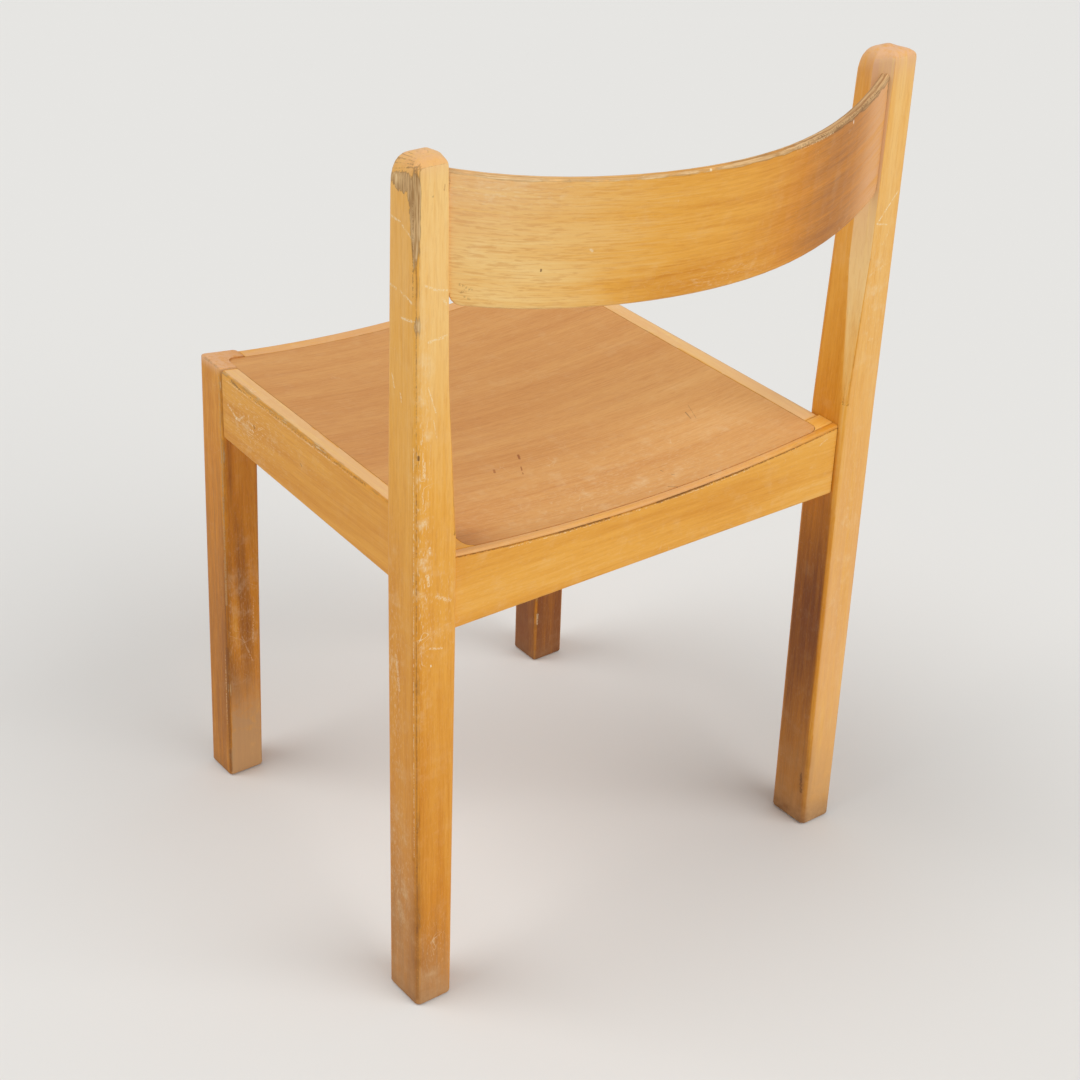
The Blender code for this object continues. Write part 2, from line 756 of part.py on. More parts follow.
def corner_block(end, side, sign, made, wood, steel, parent):
    plan, corner = block_plan(end)
    towards_rail = 1 if end == "rear" else -1
    offset = REAR_SCREW_OFFSET if end == "rear" else FRONT_SCREW_OFFSET
    top = side_top(corner[1]) - PANEL_THICKNESS - BLOCK_TOP_DROP
    bottom = top - BLOCK_HEIGHT
    rings = [[(sign * x, y, z) for x, y in plan] for z in (bottom, top)]
    block = skin(f"corner_block_{end}_{side}", rings, wood, parent)
    middle = (bottom + top) / 2
    across_y = corner[1] - towards_rail * offset
    head = (sign * (frame_half(across_y) - RAIL_THICKNESS - SCREW_GRIP), across_y, middle - SCREW_LEVEL)
    rail = made[f"side_rail_{side}"]
    screw(f"screw_{end}_{side}_1", head, (sign, 0, 0), steel, parent, (block, rail))
    head = (sign * (corner[0] - offset), corner[1] - towards_rail * SCREW_GRIP, middle + SCREW_LEVEL)
    rail = made[f"{end}_rail"]
    screw(f"screw_{end}_{side}_2", head, (0, towards_rail, 0), steel, parent, (block, rail))


# Assembly

def build():
    for thing in list(bpy.data.objects):
        bpy.data.objects.remove(thing, do_unlink=True)
    chair = bpy.data.objects.new("chair", None)
    bpy.context.scene.collection.objects.link(chair)

    amber = material("amber_wood", WOOD_AMBER, 0.35)
    tan = material("tan_wood", WOOD_TAN, 0.38)
    seat = material("seat_wood", WOOD_SEAT, 0.42)
    pale = material("dowel_wood", WOOD_PALE, 0.7)
    steel = material("screw_steel", STEEL, 0.45, 1.0)

    made = {}
    for side, sign in sides():
        for piece in (
            front_leg(side, sign, amber, chair),
            rear_post(side, sign, amber, chair),
            side_rail(side, sign, amber, chair),
        ):
            made[piece.name] = piece
    for piece in (
        front_rail(tan, chair),
        rear_rail(tan, chair),
        rear_lip(tan, chair),
        seat_panel(seat, chair),
        backrest(tan, chair),
    ):
        made[piece.name] = piece

    recess = seat_recess(seat, chair)
    for name in ("front_leg_left", "front_leg_right", "side_rail_left", "side_rail_right"):
        cut(made[name], recess)
    for name in ("front_rail", "rear_rail"):
        cut(made[name], recess)

    frame_dowels(made, pale, chair)
    back_dowels(made, pale, chair)
    for end in ("front", "rear"):
        for side, sign in sides():
            corner_block(end, side, sign, made, pale, steel, chair)


build()
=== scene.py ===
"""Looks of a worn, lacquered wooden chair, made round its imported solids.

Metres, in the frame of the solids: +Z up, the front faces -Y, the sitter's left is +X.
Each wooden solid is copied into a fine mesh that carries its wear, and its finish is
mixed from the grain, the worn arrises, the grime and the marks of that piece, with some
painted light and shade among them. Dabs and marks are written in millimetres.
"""

import json
import math

import bmesh
import bpy
import numpy as np
from mathutils import Matrix, Vector, kdtree, noise
from mathutils.bvhtree import BVHTree

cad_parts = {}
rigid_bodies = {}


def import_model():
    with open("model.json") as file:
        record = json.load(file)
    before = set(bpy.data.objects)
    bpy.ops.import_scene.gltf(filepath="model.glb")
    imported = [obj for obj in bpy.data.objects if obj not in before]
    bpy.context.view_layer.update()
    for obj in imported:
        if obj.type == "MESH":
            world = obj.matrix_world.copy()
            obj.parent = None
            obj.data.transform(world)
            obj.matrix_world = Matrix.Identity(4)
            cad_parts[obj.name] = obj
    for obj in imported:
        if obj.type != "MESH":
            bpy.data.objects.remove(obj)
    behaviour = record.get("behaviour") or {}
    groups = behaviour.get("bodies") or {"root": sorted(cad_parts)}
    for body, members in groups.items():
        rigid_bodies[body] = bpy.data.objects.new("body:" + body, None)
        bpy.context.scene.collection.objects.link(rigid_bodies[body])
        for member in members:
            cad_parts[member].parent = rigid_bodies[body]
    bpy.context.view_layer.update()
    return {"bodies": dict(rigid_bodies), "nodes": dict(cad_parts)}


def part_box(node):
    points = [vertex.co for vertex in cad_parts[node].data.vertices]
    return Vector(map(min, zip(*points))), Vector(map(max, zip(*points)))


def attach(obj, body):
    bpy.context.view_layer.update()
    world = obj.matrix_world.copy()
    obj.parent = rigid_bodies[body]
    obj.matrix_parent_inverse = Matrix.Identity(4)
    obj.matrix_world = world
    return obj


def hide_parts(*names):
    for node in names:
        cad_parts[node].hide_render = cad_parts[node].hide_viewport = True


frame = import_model()

MM = 0.001
FAR = 9000.0

# Fine meshes
SPACING = 0.003
WELD = 0.00001
FLAT = math.radians(0.15)
ARRIS_TURN = math.radians(20.0)
SHARP = math.radians(35.0)
HARD_WIDTH = 0.005
FOOT_ROUND = 0.0035
FOOT_CUTS = (0.0006, 0.0016)

# Wear of the arrises: how far in it shows, and how deep it goes, at no wear and more at full wear
WEAR_WIDTH, WEAR_WIDTH_MORE = 0.0015, 0.0025
WEAR_DEPTH, WEAR_ROUGH, WEAR_DENT = 0.0001, 0.0003, 0.0011
ROUGH_SCALE, DENT_SCALE = 160.0, 46.0
DENT_ABOVE = 0.25
DENT_OFFSET = Vector((7.0, 3.0, 1.0))

# Painted levels: what each is where nothing is said, and the limits that the shaders take
LEVELS = {
    "worn": 0.05, "patch": -1.0, "grime": 0.2, "tone": 0.5, "tint": 0.0, "rays": 1.0,
    "scuff": 0.1, "soil": 0.0, "dust": 0.0,
}
LIMITED = ("worn", "grime", "tint", "rays", "scuff", "soil", "dust")
MOST = 1.6
FACING_FROM, FACING_TO = 0.88, 0.96
# How high the dusting and the painted shade rise from the floor
FLOOR_DUST_AND_SHADE_HEIGHT = 0.028
PLY_EDGE_FROM, PLY_EDGE_TO = 0.35, 0.65
PLIES = 2.5

# The bow of the backrest, fitted to its vertices
BOW_DEGREE = 4
BOW_STEPS = 200
BOW_COLUMN = 0.01

# How far a vertex may be from a column of an arris, in millimetres
COLUMN_REACH = 9.0

# Camera, as in the photograph, measured from the rear faces of the posts at the floor
CAMERA_X = 1.02635
CAMERA_BEHIND = 1.14739
CAMERA_Z = 1.24456
CAMERA_AZIMUTH = math.radians(142.099)
CAMERA_PITCH = math.radians(29.192)
CAMERA_ROLL = math.radians(1.998)
CAMERA_LENS = 69.93
SENSOR = 36.0
CAMERA_SHIFT = (0.0032, -0.0029)

# Light: where each sun stands, its strength and its spread in degrees
WORLD_LEVEL = 0.52
KEY_SUN = ((0.55, -0.25, 0.8), 1.05, 40.0)
REAR_SUN = ((-0.3, 0.75, 0.6), 1.35, 50.0)
FLOOR_REACH = 20.0

UP = Vector((0.0, 0.0, 1.0))
REAR = Vector((0.0, 1.0, 0.0))
LEFT = Vector((1.0, 0.0, 0.0))
FACET = Vector((0.883, 0.469, 0.0))

# Patterns: how tightly each runs along the grain, and twice across it
CLOUDS = (2.4, 30.0, 30.0)
STREAKS = (8.0, 210.0, 210.0)
FIBRES = (24.0, 800.0, 800.0)
RAYS = (58.0, 640.0, 640.0)
RAGGED = (70.0, 480.0, 480.0)
BARE_FIBRES = (40.0, 1000.0, 1000.0)
CHALK = (210.0, 820.0, 820.0)
PLY_WOBBLE = (20.0, 60.0, 60.0)


def even(scale):
    """The same scale on each axis, for patterns that don't follow the grain."""
    return (scale, scale, scale)


def srgb(red, green, blue):
    """A colour given as 0 to 255, as the linear values that a shader takes."""
    def linear(value):
        value /= 255.0
        return value / 12.92 if value <= 0.04045 else ((value + 0.055) / 1.055) ** 2.4

    return (linear(red), linear(green), linear(blue), 1.0)


# Colours
LACQUERED = (
    (0.0, srgb(134, 74, 22)),
    (0.35, srgb(210, 134, 26)),
    (0.6, srgb(233, 168, 66)),
    (1.0, srgb(246, 208, 138)),
)
SEAT_FACE = (
    (0.0, srgb(152, 96, 48)),
    (0.4, srgb(206, 142, 76)),
    (0.7, srgb(220, 162, 94)),
    (1.0, srgb(236, 192, 134)),
)
ROSE = srgb(230, 182, 140)
RAY = srgb(218, 184, 142)
BARE = srgb(200, 154, 98)
BARE_PALE = srgb(242, 214, 164)
BARE_GREY = srgb(192, 154, 108)
BARE_DARK = srgb(126, 92, 58)
GRIME = srgb(104, 70, 38)
# Dusting colour, partly painted shade near the floor
DUST_AND_SHADE = srgb(204, 168, 122)
# Scuffs, and also painted sheen and highlights
SCUFF_AND_SHEEN = srgb(244, 224, 184)
SPOT = srgb(98, 62, 34)
CREASE = srgb(124, 76, 36)
# Soiling colour, partly painted shade near the floor
SOIL_AND_SHADE = srgb(132, 100, 72)
RUST = srgb(150, 78, 24)
PLY_DARK = srgb(178, 124, 74)
PLY_LIGHT = srgb(228, 184, 128)
BLOCK_WOOD = srgb(212, 176, 126)
BLOCK_DARK = srgb(182, 140, 90)
ZINC = srgb(196, 194, 190)
ZINC_DULL = srgb(120, 112, 100)
FLOOR = srgb(226, 225, 222)


# Nodes

class Tree:
    """Short names for the shader nodes that the finishes are mixed from."""

    def __init__(self, name):
        self.material = bpy.data.materials.new(name)
        self.material.use_nodes = True
        self.nodes = self.material.node_tree.nodes
        self.links = self.material.node_tree.links
        self.shader = self.nodes["Principled BSDF"]

    def put(self, socket, value):
        if isinstance(value, bpy.types.NodeSocket):
            self.links.new(value, socket)
        else:
            socket.default_value = value

    def add(self, kind, **settings):
        node = self.nodes.new(kind)
        for name, value in settings.items():
            setattr(node, name, value)
        return node

    def attribute(self, name, output="Fac"):
        return self.add("ShaderNodeAttribute", attribute_name=name).outputs[output]

    def maths(self, operation, first, second=0.0, third=0.0, clamp=False):
        node = self.add("ShaderNodeMath", operation=operation, use_clamp=clamp)
        for socket, value in zip(node.inputs, (first, second, third)):
            self.put(socket, value)
        return node.outputs[0]

    def times(self, first, second, clamp=False):
        return self.maths("MULTIPLY", first, second, clamp=clamp)

    def swing(self, value, amount, onto):
        """A level moved up and down by the part of a noise above and below its middle."""
        return self.maths("MULTIPLY_ADD", self.maths("SUBTRACT", value, 0.5), amount, onto)

    def vector(self, operation, first, second=(0.0, 0.0, 0.0), scale=None):
        node = self.add("ShaderNodeVectorMath", operation=operation)
        self.put(node.inputs[0], first)
        self.put(node.inputs[1], second)
        if scale is not None:
            self.put(node.inputs["Scale"], scale)
        return node.outputs["Vector"]

    def ramp(self, value, low, high, to_low=0.0, to_high=1.0):
        """A smooth step from one level to another."""
        node = self.add("ShaderNodeMapRange", interpolation_type="SMOOTHSTEP")
        for socket, given in zip(node.inputs, (value, low, high, to_low, to_high)):
            self.put(socket, given)
        return node.outputs[0]

    def noise(self, place, scale, detail=2.0, roughness=0.5, distortion=0.0):
        """Noise stretched by a scale for each axis."""
        stretched = self.vector("MULTIPLY", place, scale)
        node = self.add("ShaderNodeTexNoise")
        self.put(node.inputs["Vector"], stretched)
        node.inputs["Scale"].default_value = 1.0
        node.inputs["Detail"].default_value = detail
        node.inputs["Roughness"].default_value = roughness
        node.inputs["Distortion"].default_value = distortion
        return node.outputs["Fac"]

    def mix(self, factor, first, second, blend="MIX"):
        node = self.add("ShaderNodeMix", data_type="RGBA", blend_type=blend)
        self.put(node.inputs["Factor"], factor)
        self.put(node.inputs[6], first)
        self.put(node.inputs[7], second)
        return node.outputs[2]

    def shades(self, value, stops):
        """A colour read off a scale of stops."""
        node = self.add("ShaderNodeValToRGB")
        scale = node.color_ramp
        while len(scale.elements) < len(stops):
            scale.elements.new(0.5)
        for element, (position, colour) in zip(scale.elements, stops):
            element.position = position
            element.color = colour
        self.put(node.inputs[0], value)
        return node.outputs[0]

    def bump(self, height, strength, distance):
        node = self.add("ShaderNodeBump")
        node.inputs["Strength"].default_value = strength
        node.inputs["Distance"].default_value = distance
        self.put(node.inputs["Height"], height)
        self.put(self.shader.inputs["Normal"], node.outputs["Normal"])


def stroke_group():
    """A node group: how deep a point lies in a stroke between two points, from 0 to 1.

    The stroke is full to a third of its radius and fades from there to its edge.
    """
    group = bpy.data.node_groups.new("stroke", "ShaderNodeTree")
    for name in ("Point", "Start", "End"):
        group.interface.new_socket(name, in_out="INPUT", socket_type="NodeSocketVector")
    group.interface.new_socket("Radius", in_out="INPUT", socket_type="NodeSocketFloat")
    group.interface.new_socket("Mask", in_out="OUTPUT", socket_type="NodeSocketFloat")
    nodes, links = group.nodes, group.links
    given = nodes.new("NodeGroupInput").outputs

    def join(kind, operation, first, second):
        node = nodes.new(kind)
        node.operation = operation
        links.new(first, node.inputs[0])
        links.new(second, node.inputs[1])
        return node

    along = join("ShaderNodeVectorMath", "SUBTRACT", given["End"], given["Start"]).outputs[0]
    reach = join("ShaderNodeVectorMath", "SUBTRACT", given["Point"], given["Start"]).outputs[0]
    shadow = join("ShaderNodeVectorMath", "DOT_PRODUCT", reach, along).outputs["Value"]
    length = join("ShaderNodeVectorMath", "DOT_PRODUCT", along, along).outputs["Value"]
    share = join("ShaderNodeMath", "DIVIDE", shadow, length)
    share.use_clamp = True
    scaled = nodes.new("ShaderNodeVectorMath")
    scaled.operation = "SCALE"
    links.new(along, scaled.inputs[0])
    links.new(share.outputs[0], scaled.inputs["Scale"])
    distance = join("ShaderNodeVectorMath", "DISTANCE", reach, scaled.outputs[0]).outputs["Value"]
    share = join("ShaderNodeMath", "DIVIDE", distance, given["Radius"]).outputs[0]
    edge = nodes.new("ShaderNodeMapRange")
    edge.interpolation_type = "SMOOTHSTEP"
    links.new(share, edge.inputs["Value"])
    edge.inputs["From Min"].default_value = 1.0
    edge.inputs["From Max"].default_value = 0.35
    links.new(edge.outputs[0], nodes.new("NodeGroupOutput").inputs["Mask"])
    return group


STROKE = stroke_group()


# Finishes

def wood_colour(tree, grain, tone, scale, lines, figure):
    """The lacquered wood itself: clouds, streaks, fibres and dark rays along the grain."""
    broad = tree.noise(grain, CLOUDS, 3.0, 0.55, 0.4)
    streak = tree.noise(grain, STREAKS, 3.0, 0.6, 0.3)
    fine = tree.noise(grain, FIBRES, 2.0, 0.6)
    level = tree.swing(broad, 0.5, tone)
    level = tree.swing(streak, 0.42 * figure, level)
    level = tree.swing(fine, 0.34 * figure, level)
    colour = tree.shades(level, scale)
    wavy = tree.noise(grain, RAYS, 3.0, 0.62, 0.5)
    rays = tree.times(tree.ramp(wavy, 0.53, 0.36), tree.attribute("rays"))
    rays = tree.times(rays, lines, clamp=True)
    colour = tree.mix(rays, colour, tree.mix(1.0, colour, RAY, "MULTIPLY"))
    return colour, rays, streak, fine


def bare_wood(tree, grain, place, grime):
    """Where the lacquer is gone: how deep the wear runs, its rim and its fibres' colour."""
    arris = tree.attribute("arris")
    worn = tree.attribute("worn")
    ragged = tree.noise(grain, RAGGED, 4.0, 0.68)
    blotch = tree.noise(place, even(60.0), 3.0)
    reach = tree.maths("MULTIPLY_ADD", worn, 0.010, -0.0008)
    spread = tree.maths("MULTIPLY_ADD", worn, 0.009, 0.002)
    reach = tree.maths("ADD", reach, tree.times(tree.maths("SUBTRACT", ragged, 0.5), spread))
    reach = tree.maths("ADD", reach, tree.times(tree.maths("SUBTRACT", blotch, 0.5), spread))
    uneven = tree.maths("ADD", ragged, tree.maths("MULTIPLY_ADD", blotch, 0.6, -0.8))
    patch = tree.maths("ADD", tree.attribute("patch"), tree.times(uneven, 1.3))
    patch = tree.maths("MULTIPLY_ADD", patch, 0.01, -0.005)
    depth = tree.maths("MAXIMUM", tree.maths("SUBTRACT", reach, arris), patch)
    bare = tree.ramp(depth, -0.0001, 0.0006)
    rim = tree.times(tree.ramp(depth, -0.0007, 0.0), tree.ramp(depth, 0.0009, 0.0002))
    fibre = tree.noise(grain, BARE_FIBRES, 3.0, 0.65)
    clean = tree.mix(tree.ramp(fibre, 0.35, 0.65), BARE, BARE_PALE)
    dirty = tree.mix(tree.ramp(fibre, 0.38, 0.62), BARE_DARK, BARE_GREY)
    return bare, rim, fibre, tree.mix(grime, clean, dirty)


def scuffed_over(tree, grain, place, cloud, colour):
    """Scuffs over a colour: their haze, their chalky dabs and thin curling hairs. Where its level
    is raised for it, the haze is a painted sheen.
    """
    scuffed = tree.attribute("scuff")
    haze = tree.times(tree.ramp(cloud, 0.50, 0.74), scuffed, clamp=True)
    dabs = tree.noise(grain, CHALK, 3.0, 0.6)
    chalk = tree.times(tree.ramp(dabs, 0.52, 0.70), tree.times(scuffed, 0.8), clamp=True)
    colour = tree.mix(haze, colour, SCUFF_AND_SHEEN)
    colour = tree.mix(chalk, colour, SCUFF_AND_SHEEN)
    curl = tree.noise(place, even(38.0), 1.0, 0.5, 1.2)
    hair = tree.ramp(tree.maths("ABSOLUTE", tree.maths("SUBTRACT", curl, 0.5)), 0.006, 0.0015)
    hair = tree.times(hair, tree.ramp(tree.noise(place, even(23.0), 2.0), 0.54, 0.66))
    colour = tree.mix(tree.times(hair, tree.times(scuffed, 1.4), clamp=True), colour, SCUFF_AND_SHEEN)
    return colour, haze, hair


def ply_edges(tree, grain):
    """How far a face is the board's edge, and the colour of its plies there."""
    wobble = tree.noise(grain, PLY_WOBBLE, 2.0)
    turns = tree.maths("MULTIPLY_ADD", tree.attribute("layer"), math.tau * PLIES, wobble)
    plies = tree.mix(tree.ramp(tree.maths("SINE", turns), -0.4, 0.4), PLY_DARK, PLY_LIGHT)
    return tree.attribute("edge"), plies


def marked_over(tree, place, colour, marks):
    """Marks over a colour, and how deep they press in.

    Each mark is its start, end, radius, shade and strength, and how much of it is broken away.
    A broken mark lies on the surface and isn't pressed in.
    """
    wander = tree.noise(place, even(240.0), 4.0, 0.65)
    off = tree.maths("MULTIPLY_ADD", wander, 0.0026, -0.0013)
    shaken = tree.vector("ADD", place, tree.vector("SCALE", (1.0, 1.0, 1.0), scale=off))
    crumbs = tree.noise(place, even(620.0), 2.0, 0.6)
    pits = 0.0
    for start, end, radius, shade, strength, *gaps in marks:
        stroke = tree.add("ShaderNodeGroup", node_tree=STROKE)
        tree.put(stroke.inputs["Point"], shaken)
        stroke.inputs["Start"].default_value = [value * MM for value in start]
        stroke.inputs["End"].default_value = [value * MM for value in end]
        stroke.inputs["Radius"].default_value = radius * MM
        mask = tree.times(stroke.outputs["Mask"], strength)
        if gaps:
            mask = tree.times(mask, tree.ramp(crumbs, gaps[0] - 0.08, gaps[0] + 0.08))
        colour = tree.mix(mask, colour, shade)
        if not gaps:
            pits = tree.maths("ADD", mask, pits)
    return colour, pits


def wood(name, scale=LACQUERED, marks=(), lines=0.25, figure=0.6, ply=False, gloss=0.42):
    """Lacquered wood, worn at its arrises, with the grain along the first grain axis."""
    tree = Tree(name)
    grain = tree.attribute("grain", "Vector")
    place = tree.add("ShaderNodeTexCoord").outputs["Object"]
    grime = tree.attribute("grime")
    tone = tree.attribute("tone")
    colour, rays, streak, fine = wood_colour(tree, grain, tone, scale, lines, figure)
    rosy = tree.mix(tree.ramp(streak, 0.42, 0.85), ROSE, colour)
    colour = tree.mix(tree.attribute("tint"), colour, rosy)

    cloud = tree.noise(place, even(52.0), 5.0, 0.66)
    colour, haze, hair = scuffed_over(tree, grain, place, cloud, colour)
    bare, rim, fibre, under = bare_wood(tree, grain, place, grime)
    if ply:
        edge, plies = ply_edges(tree, grain)
        colour = tree.mix(tree.times(edge, 0.45), colour, plies)
        under = tree.mix(tree.times(edge, 0.4), under, plies)
    colour = tree.mix(tree.times(bare, 0.88), colour, under)
    grimy = tree.maths("MULTIPLY_ADD", grime, 0.4, 0.18)
    colour = tree.mix(tree.times(rim, grimy, clamp=True), colour, GRIME)

    # Soiling and dusting: partly real dirt, partly painted shade that darkens the parts near the
    # floor
    soiled = tree.times(tree.attribute("soil"), tree.ramp(cloud, 0.3, 0.7, 1.0, 0.5), clamp=True)
    colour = tree.mix(soiled, colour, tree.mix(1.0, colour, SOIL_AND_SHADE, "MULTIPLY"))
    dusty = tree.times(tree.attribute("dust"), tree.ramp(cloud, 0.3, 0.6, 0.5, 1.0), clamp=True)
    dust_and_shade_colour = tree.mix(0.65, tree.mix(1.0, colour, DUST_AND_SHADE, "MULTIPLY"), DUST_AND_SHADE)
    colour, pits = marked_over(tree, place, tree.mix(dusty, colour, dust_and_shade_colour), marks)
    tree.put(tree.shader.inputs["Base Color"], colour)
    dull = tree.maths("MAXIMUM", tree.maths("MAXIMUM", bare, haze), dusty)
    rough = tree.maths("MULTIPLY_ADD", dull, 0.35, gloss)
    rough = tree.maths("MULTIPLY_ADD", streak, 0.1, rough, clamp=True)
    tree.put(tree.shader.inputs["Roughness"], rough)
    tree.shader.inputs["Specular IOR Level"].default_value = 0.3

    height = tree.maths("MULTIPLY_ADD", rays, -0.2, tree.times(fine, 0.3))
    height = tree.maths("MULTIPLY_ADD", bare, -0.9, height)
    height = tree.maths("MULTIPLY_ADD", tree.times(bare, fibre), 1.0, height)
    height = tree.maths("MULTIPLY_ADD", hair, -0.3, height)
    height = tree.maths("MULTIPLY_ADD", pits, -0.6, height)
    tree.bump(height, 0.5, 0.0004)
    return tree.material


def plain_wood(name):
    """Bare wood of the hidden blocks and dowels, with its grain by the solid's own place."""
    tree = Tree(name)
    place = tree.add("ShaderNodeTexCoord").outputs["Object"]
    streak = tree.noise(place, (90.0, 90.0, 600.0), 3.0)
    fine = tree.noise(place, (700.0, 700.0, 1500.0), 2.0)
    shade = tree.maths("MULTIPLY_ADD", fine, 0.4, tree.times(streak, 0.6))
    tree.put(tree.shader.inputs["Base Color"], tree.mix(shade, BLOCK_DARK, BLOCK_WOOD))
    tree.shader.inputs["Roughness"].default_value = 0.75
    tree.bump(shade, 0.3, 0.0003)
    return tree.material


def zinc(name):
    tree = Tree(name)
    place = tree.add("ShaderNodeTexCoord").outputs["Object"]
    cloud = tree.noise(place, even(900.0), 3.0)
    tree.put(tree.shader.inputs["Base Color"], tree.mix(cloud, ZINC_DULL, ZINC))
    tree.put(tree.shader.inputs["Roughness"], tree.ramp(cloud, 0.3, 0.8, 0.3, 0.6))
    tree.shader.inputs["Metallic"].default_value = 1.0
    return tree.material


# Fine meshes

def fine_mesh(node):
    """A copy of a solid, cut into a grid fine enough to carry wear."""
    shape = bmesh.new()
    shape.from_mesh(frame["nodes"][node].data)
    bmesh.ops.remove_doubles(shape, verts=shape.verts, dist=WELD)
    bmesh.ops.dissolve_limit(shape, angle_limit=FLAT, verts=shape.verts, edges=shape.edges)
    for edge in shape.edges:
        turned = edge.calc_face_angle(0.0) > ARRIS_TURN
        narrowest = HARD_WIDTH * edge.calc_length()
        wide = all(face.calc_area() > narrowest for face in edge.link_faces)
        edge.smooth = not (turned and wide)
    low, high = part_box(node)
    for axis in range(3):
        normal = Vector((0.0, 0.0, 0.0))
        normal[axis] = 1.0
        count = max(1, round((high[axis] - low[axis]) / SPACING))
        cuts = [low + (high - low) * (step / count) for step in range(1, count)]
        if axis == 2 and low.z < WELD:
            cuts += [Vector((0.0, 0.0, cut)) for cut in FOOT_CUTS]
        for at in cuts:
            everything = shape.verts[:] + shape.edges[:] + shape.faces[:]
            bmesh.ops.bisect_plane(shape, geom=everything, plane_co=at, plane_no=normal, dist=WELD)
    for edge in shape.edges:
        if edge.calc_face_angle(0.0) > SHARP:
            edge.smooth = False
    shape.normal_update()
    return shape


def arris_distances(shape):
    """How far each vertex is from the nearest place where the surface turns."""
    turning = []
    for vertex in shape.verts:
        normals = [face.normal for face in vertex.link_faces]
        if any(normals[0].angle(other, 0.0) > ARRIS_TURN for other in normals[1:]):
            turning.append(vertex.co.copy())
    tree = kdtree.KDTree(len(turning))
    for index, place in enumerate(turning):
        tree.insert(place, index)
    tree.balance()
    return np.array([tree.find(vertex.co)[2] for vertex in shape.verts])


def step(values, low, high):
    """From 0 to 1 between two limits."""
    return np.clip((values - low) / (high - low), 0.0, 1.0)


def painted(places, normals, base, dabs):
    """A level on the vertices: a base and soft dabs.

    Each dab is its centre, its size, its amount and, where one is given, the facing it keeps to.
    """
    level = np.full(len(places), float(base))
    for centre, size, amount, *facing in dabs:
        away = (places - np.array(centre) * MM) / (np.array(size) * MM)
        share = np.exp(-(away**2).sum(1))
        if facing:
            share = share * step(normals @ np.array(facing[0]), FACING_FROM, FACING_TO)
        level += amount * share
    return level


def depth_from(shape, facing):
    """How far each vertex lies from the faces that look towards a direction."""
    corners, faces = [], []
    for face in shape.faces:
        if face.normal.dot(facing) > 0.6:
            faces.append(list(range(len(corners), len(corners) + len(face.verts))))
            corners += [vertex.co.copy() for vertex in face.verts]
    surface = BVHTree.FromPolygons(corners, faces)
    return np.array([surface.find_nearest(vertex.co)[3] for vertex in shape.verts])


def along_bow(places):
    """The length of the bow at each vertex of the board, and the height under its upper edge."""
    bow = np.polyfit(places[:, 0], places[:, 1], BOW_DEGREE)
    at = np.linspace(places[:, 0].min(), places[:, 0].max(), BOW_STEPS)
    steps = np.hypot(np.diff(at), np.diff(np.polyval(bow, at)))
    length = np.concatenate([[0.0], np.cumsum(steps)])
    column = np.round((places[:, 0] - at[0]) / BOW_COLUMN).astype(int)
    top = np.array([places[column == index, 2].max() for index in range(column.max() + 1)])
    crest = np.polyfit(at[0] + BOW_COLUMN * np.arange(len(top)), top, BOW_DEGREE)
    below = places[:, 2] - np.polyval(crest, places[:, 0])
    return np.interp(places[:, 0], at, length), below


def grain_places(node, shape, places):
    """Coordinates along the grain first, following bent boards, and shifted from piece to piece."""
    if node == "backrest":
        length, height = along_bow(places)
        along = np.stack([length, depth_from(shape, REAR), height], axis=1)
    elif node in ("seat_panel", "rear_lip"):
        along = np.stack([places[:, 0], places[:, 1], depth_from(shape, UP)], axis=1)
    elif node in ("front_rail", "rear_rail"):
        along = places
    elif node.startswith("side_rail"):
        along = places[:, (1, 2, 0)]
    else:
        along = places[:, (2, 0, 1)]
    seed = sum(ord(letter) * (index + 1) for index, letter in enumerate(node))
    return along + np.array([seed % 17, seed % 23, seed % 31]) * 0.37


def round_foot(shape):
    """The arrises round the underside of a leg are rounded off."""
    for vertex in shape.verts:
        outwards = Vector((vertex.normal.x, vertex.normal.y, 0.0))
        if vertex.co.z > FOOT_ROUND or outwards.length < 0.1:
            continue
        rise = (FOOT_ROUND - vertex.co.z) / FOOT_ROUND
        inset = FOOT_ROUND * (1.0 - math.sqrt(1.0 - min(rise, 1.0) ** 2))
        vertex.co -= outwards.normalized() * inset


def wear_back(shape, distance, worn):
    """The arrises are worn inwards, unevenly and more where the level is high."""
    for vertex, gap, level in zip(shape.verts, distance, worn):
        if vertex.co.z < FOOT_ROUND:
            continue
        near = math.exp(-((gap / (WEAR_WIDTH + WEAR_WIDTH_MORE * level)) ** 2))
        rough = 0.5 + 0.5 * noise.noise(vertex.co * ROUGH_SCALE)
        dent = noise.noise(vertex.co * DENT_SCALE + DENT_OFFSET) - DENT_ABOVE
        depth = WEAR_DEPTH + level * (WEAR_ROUGH * rough + WEAR_DENT * max(0.0, dent))
        vertex.co -= vertex.normal * near * depth


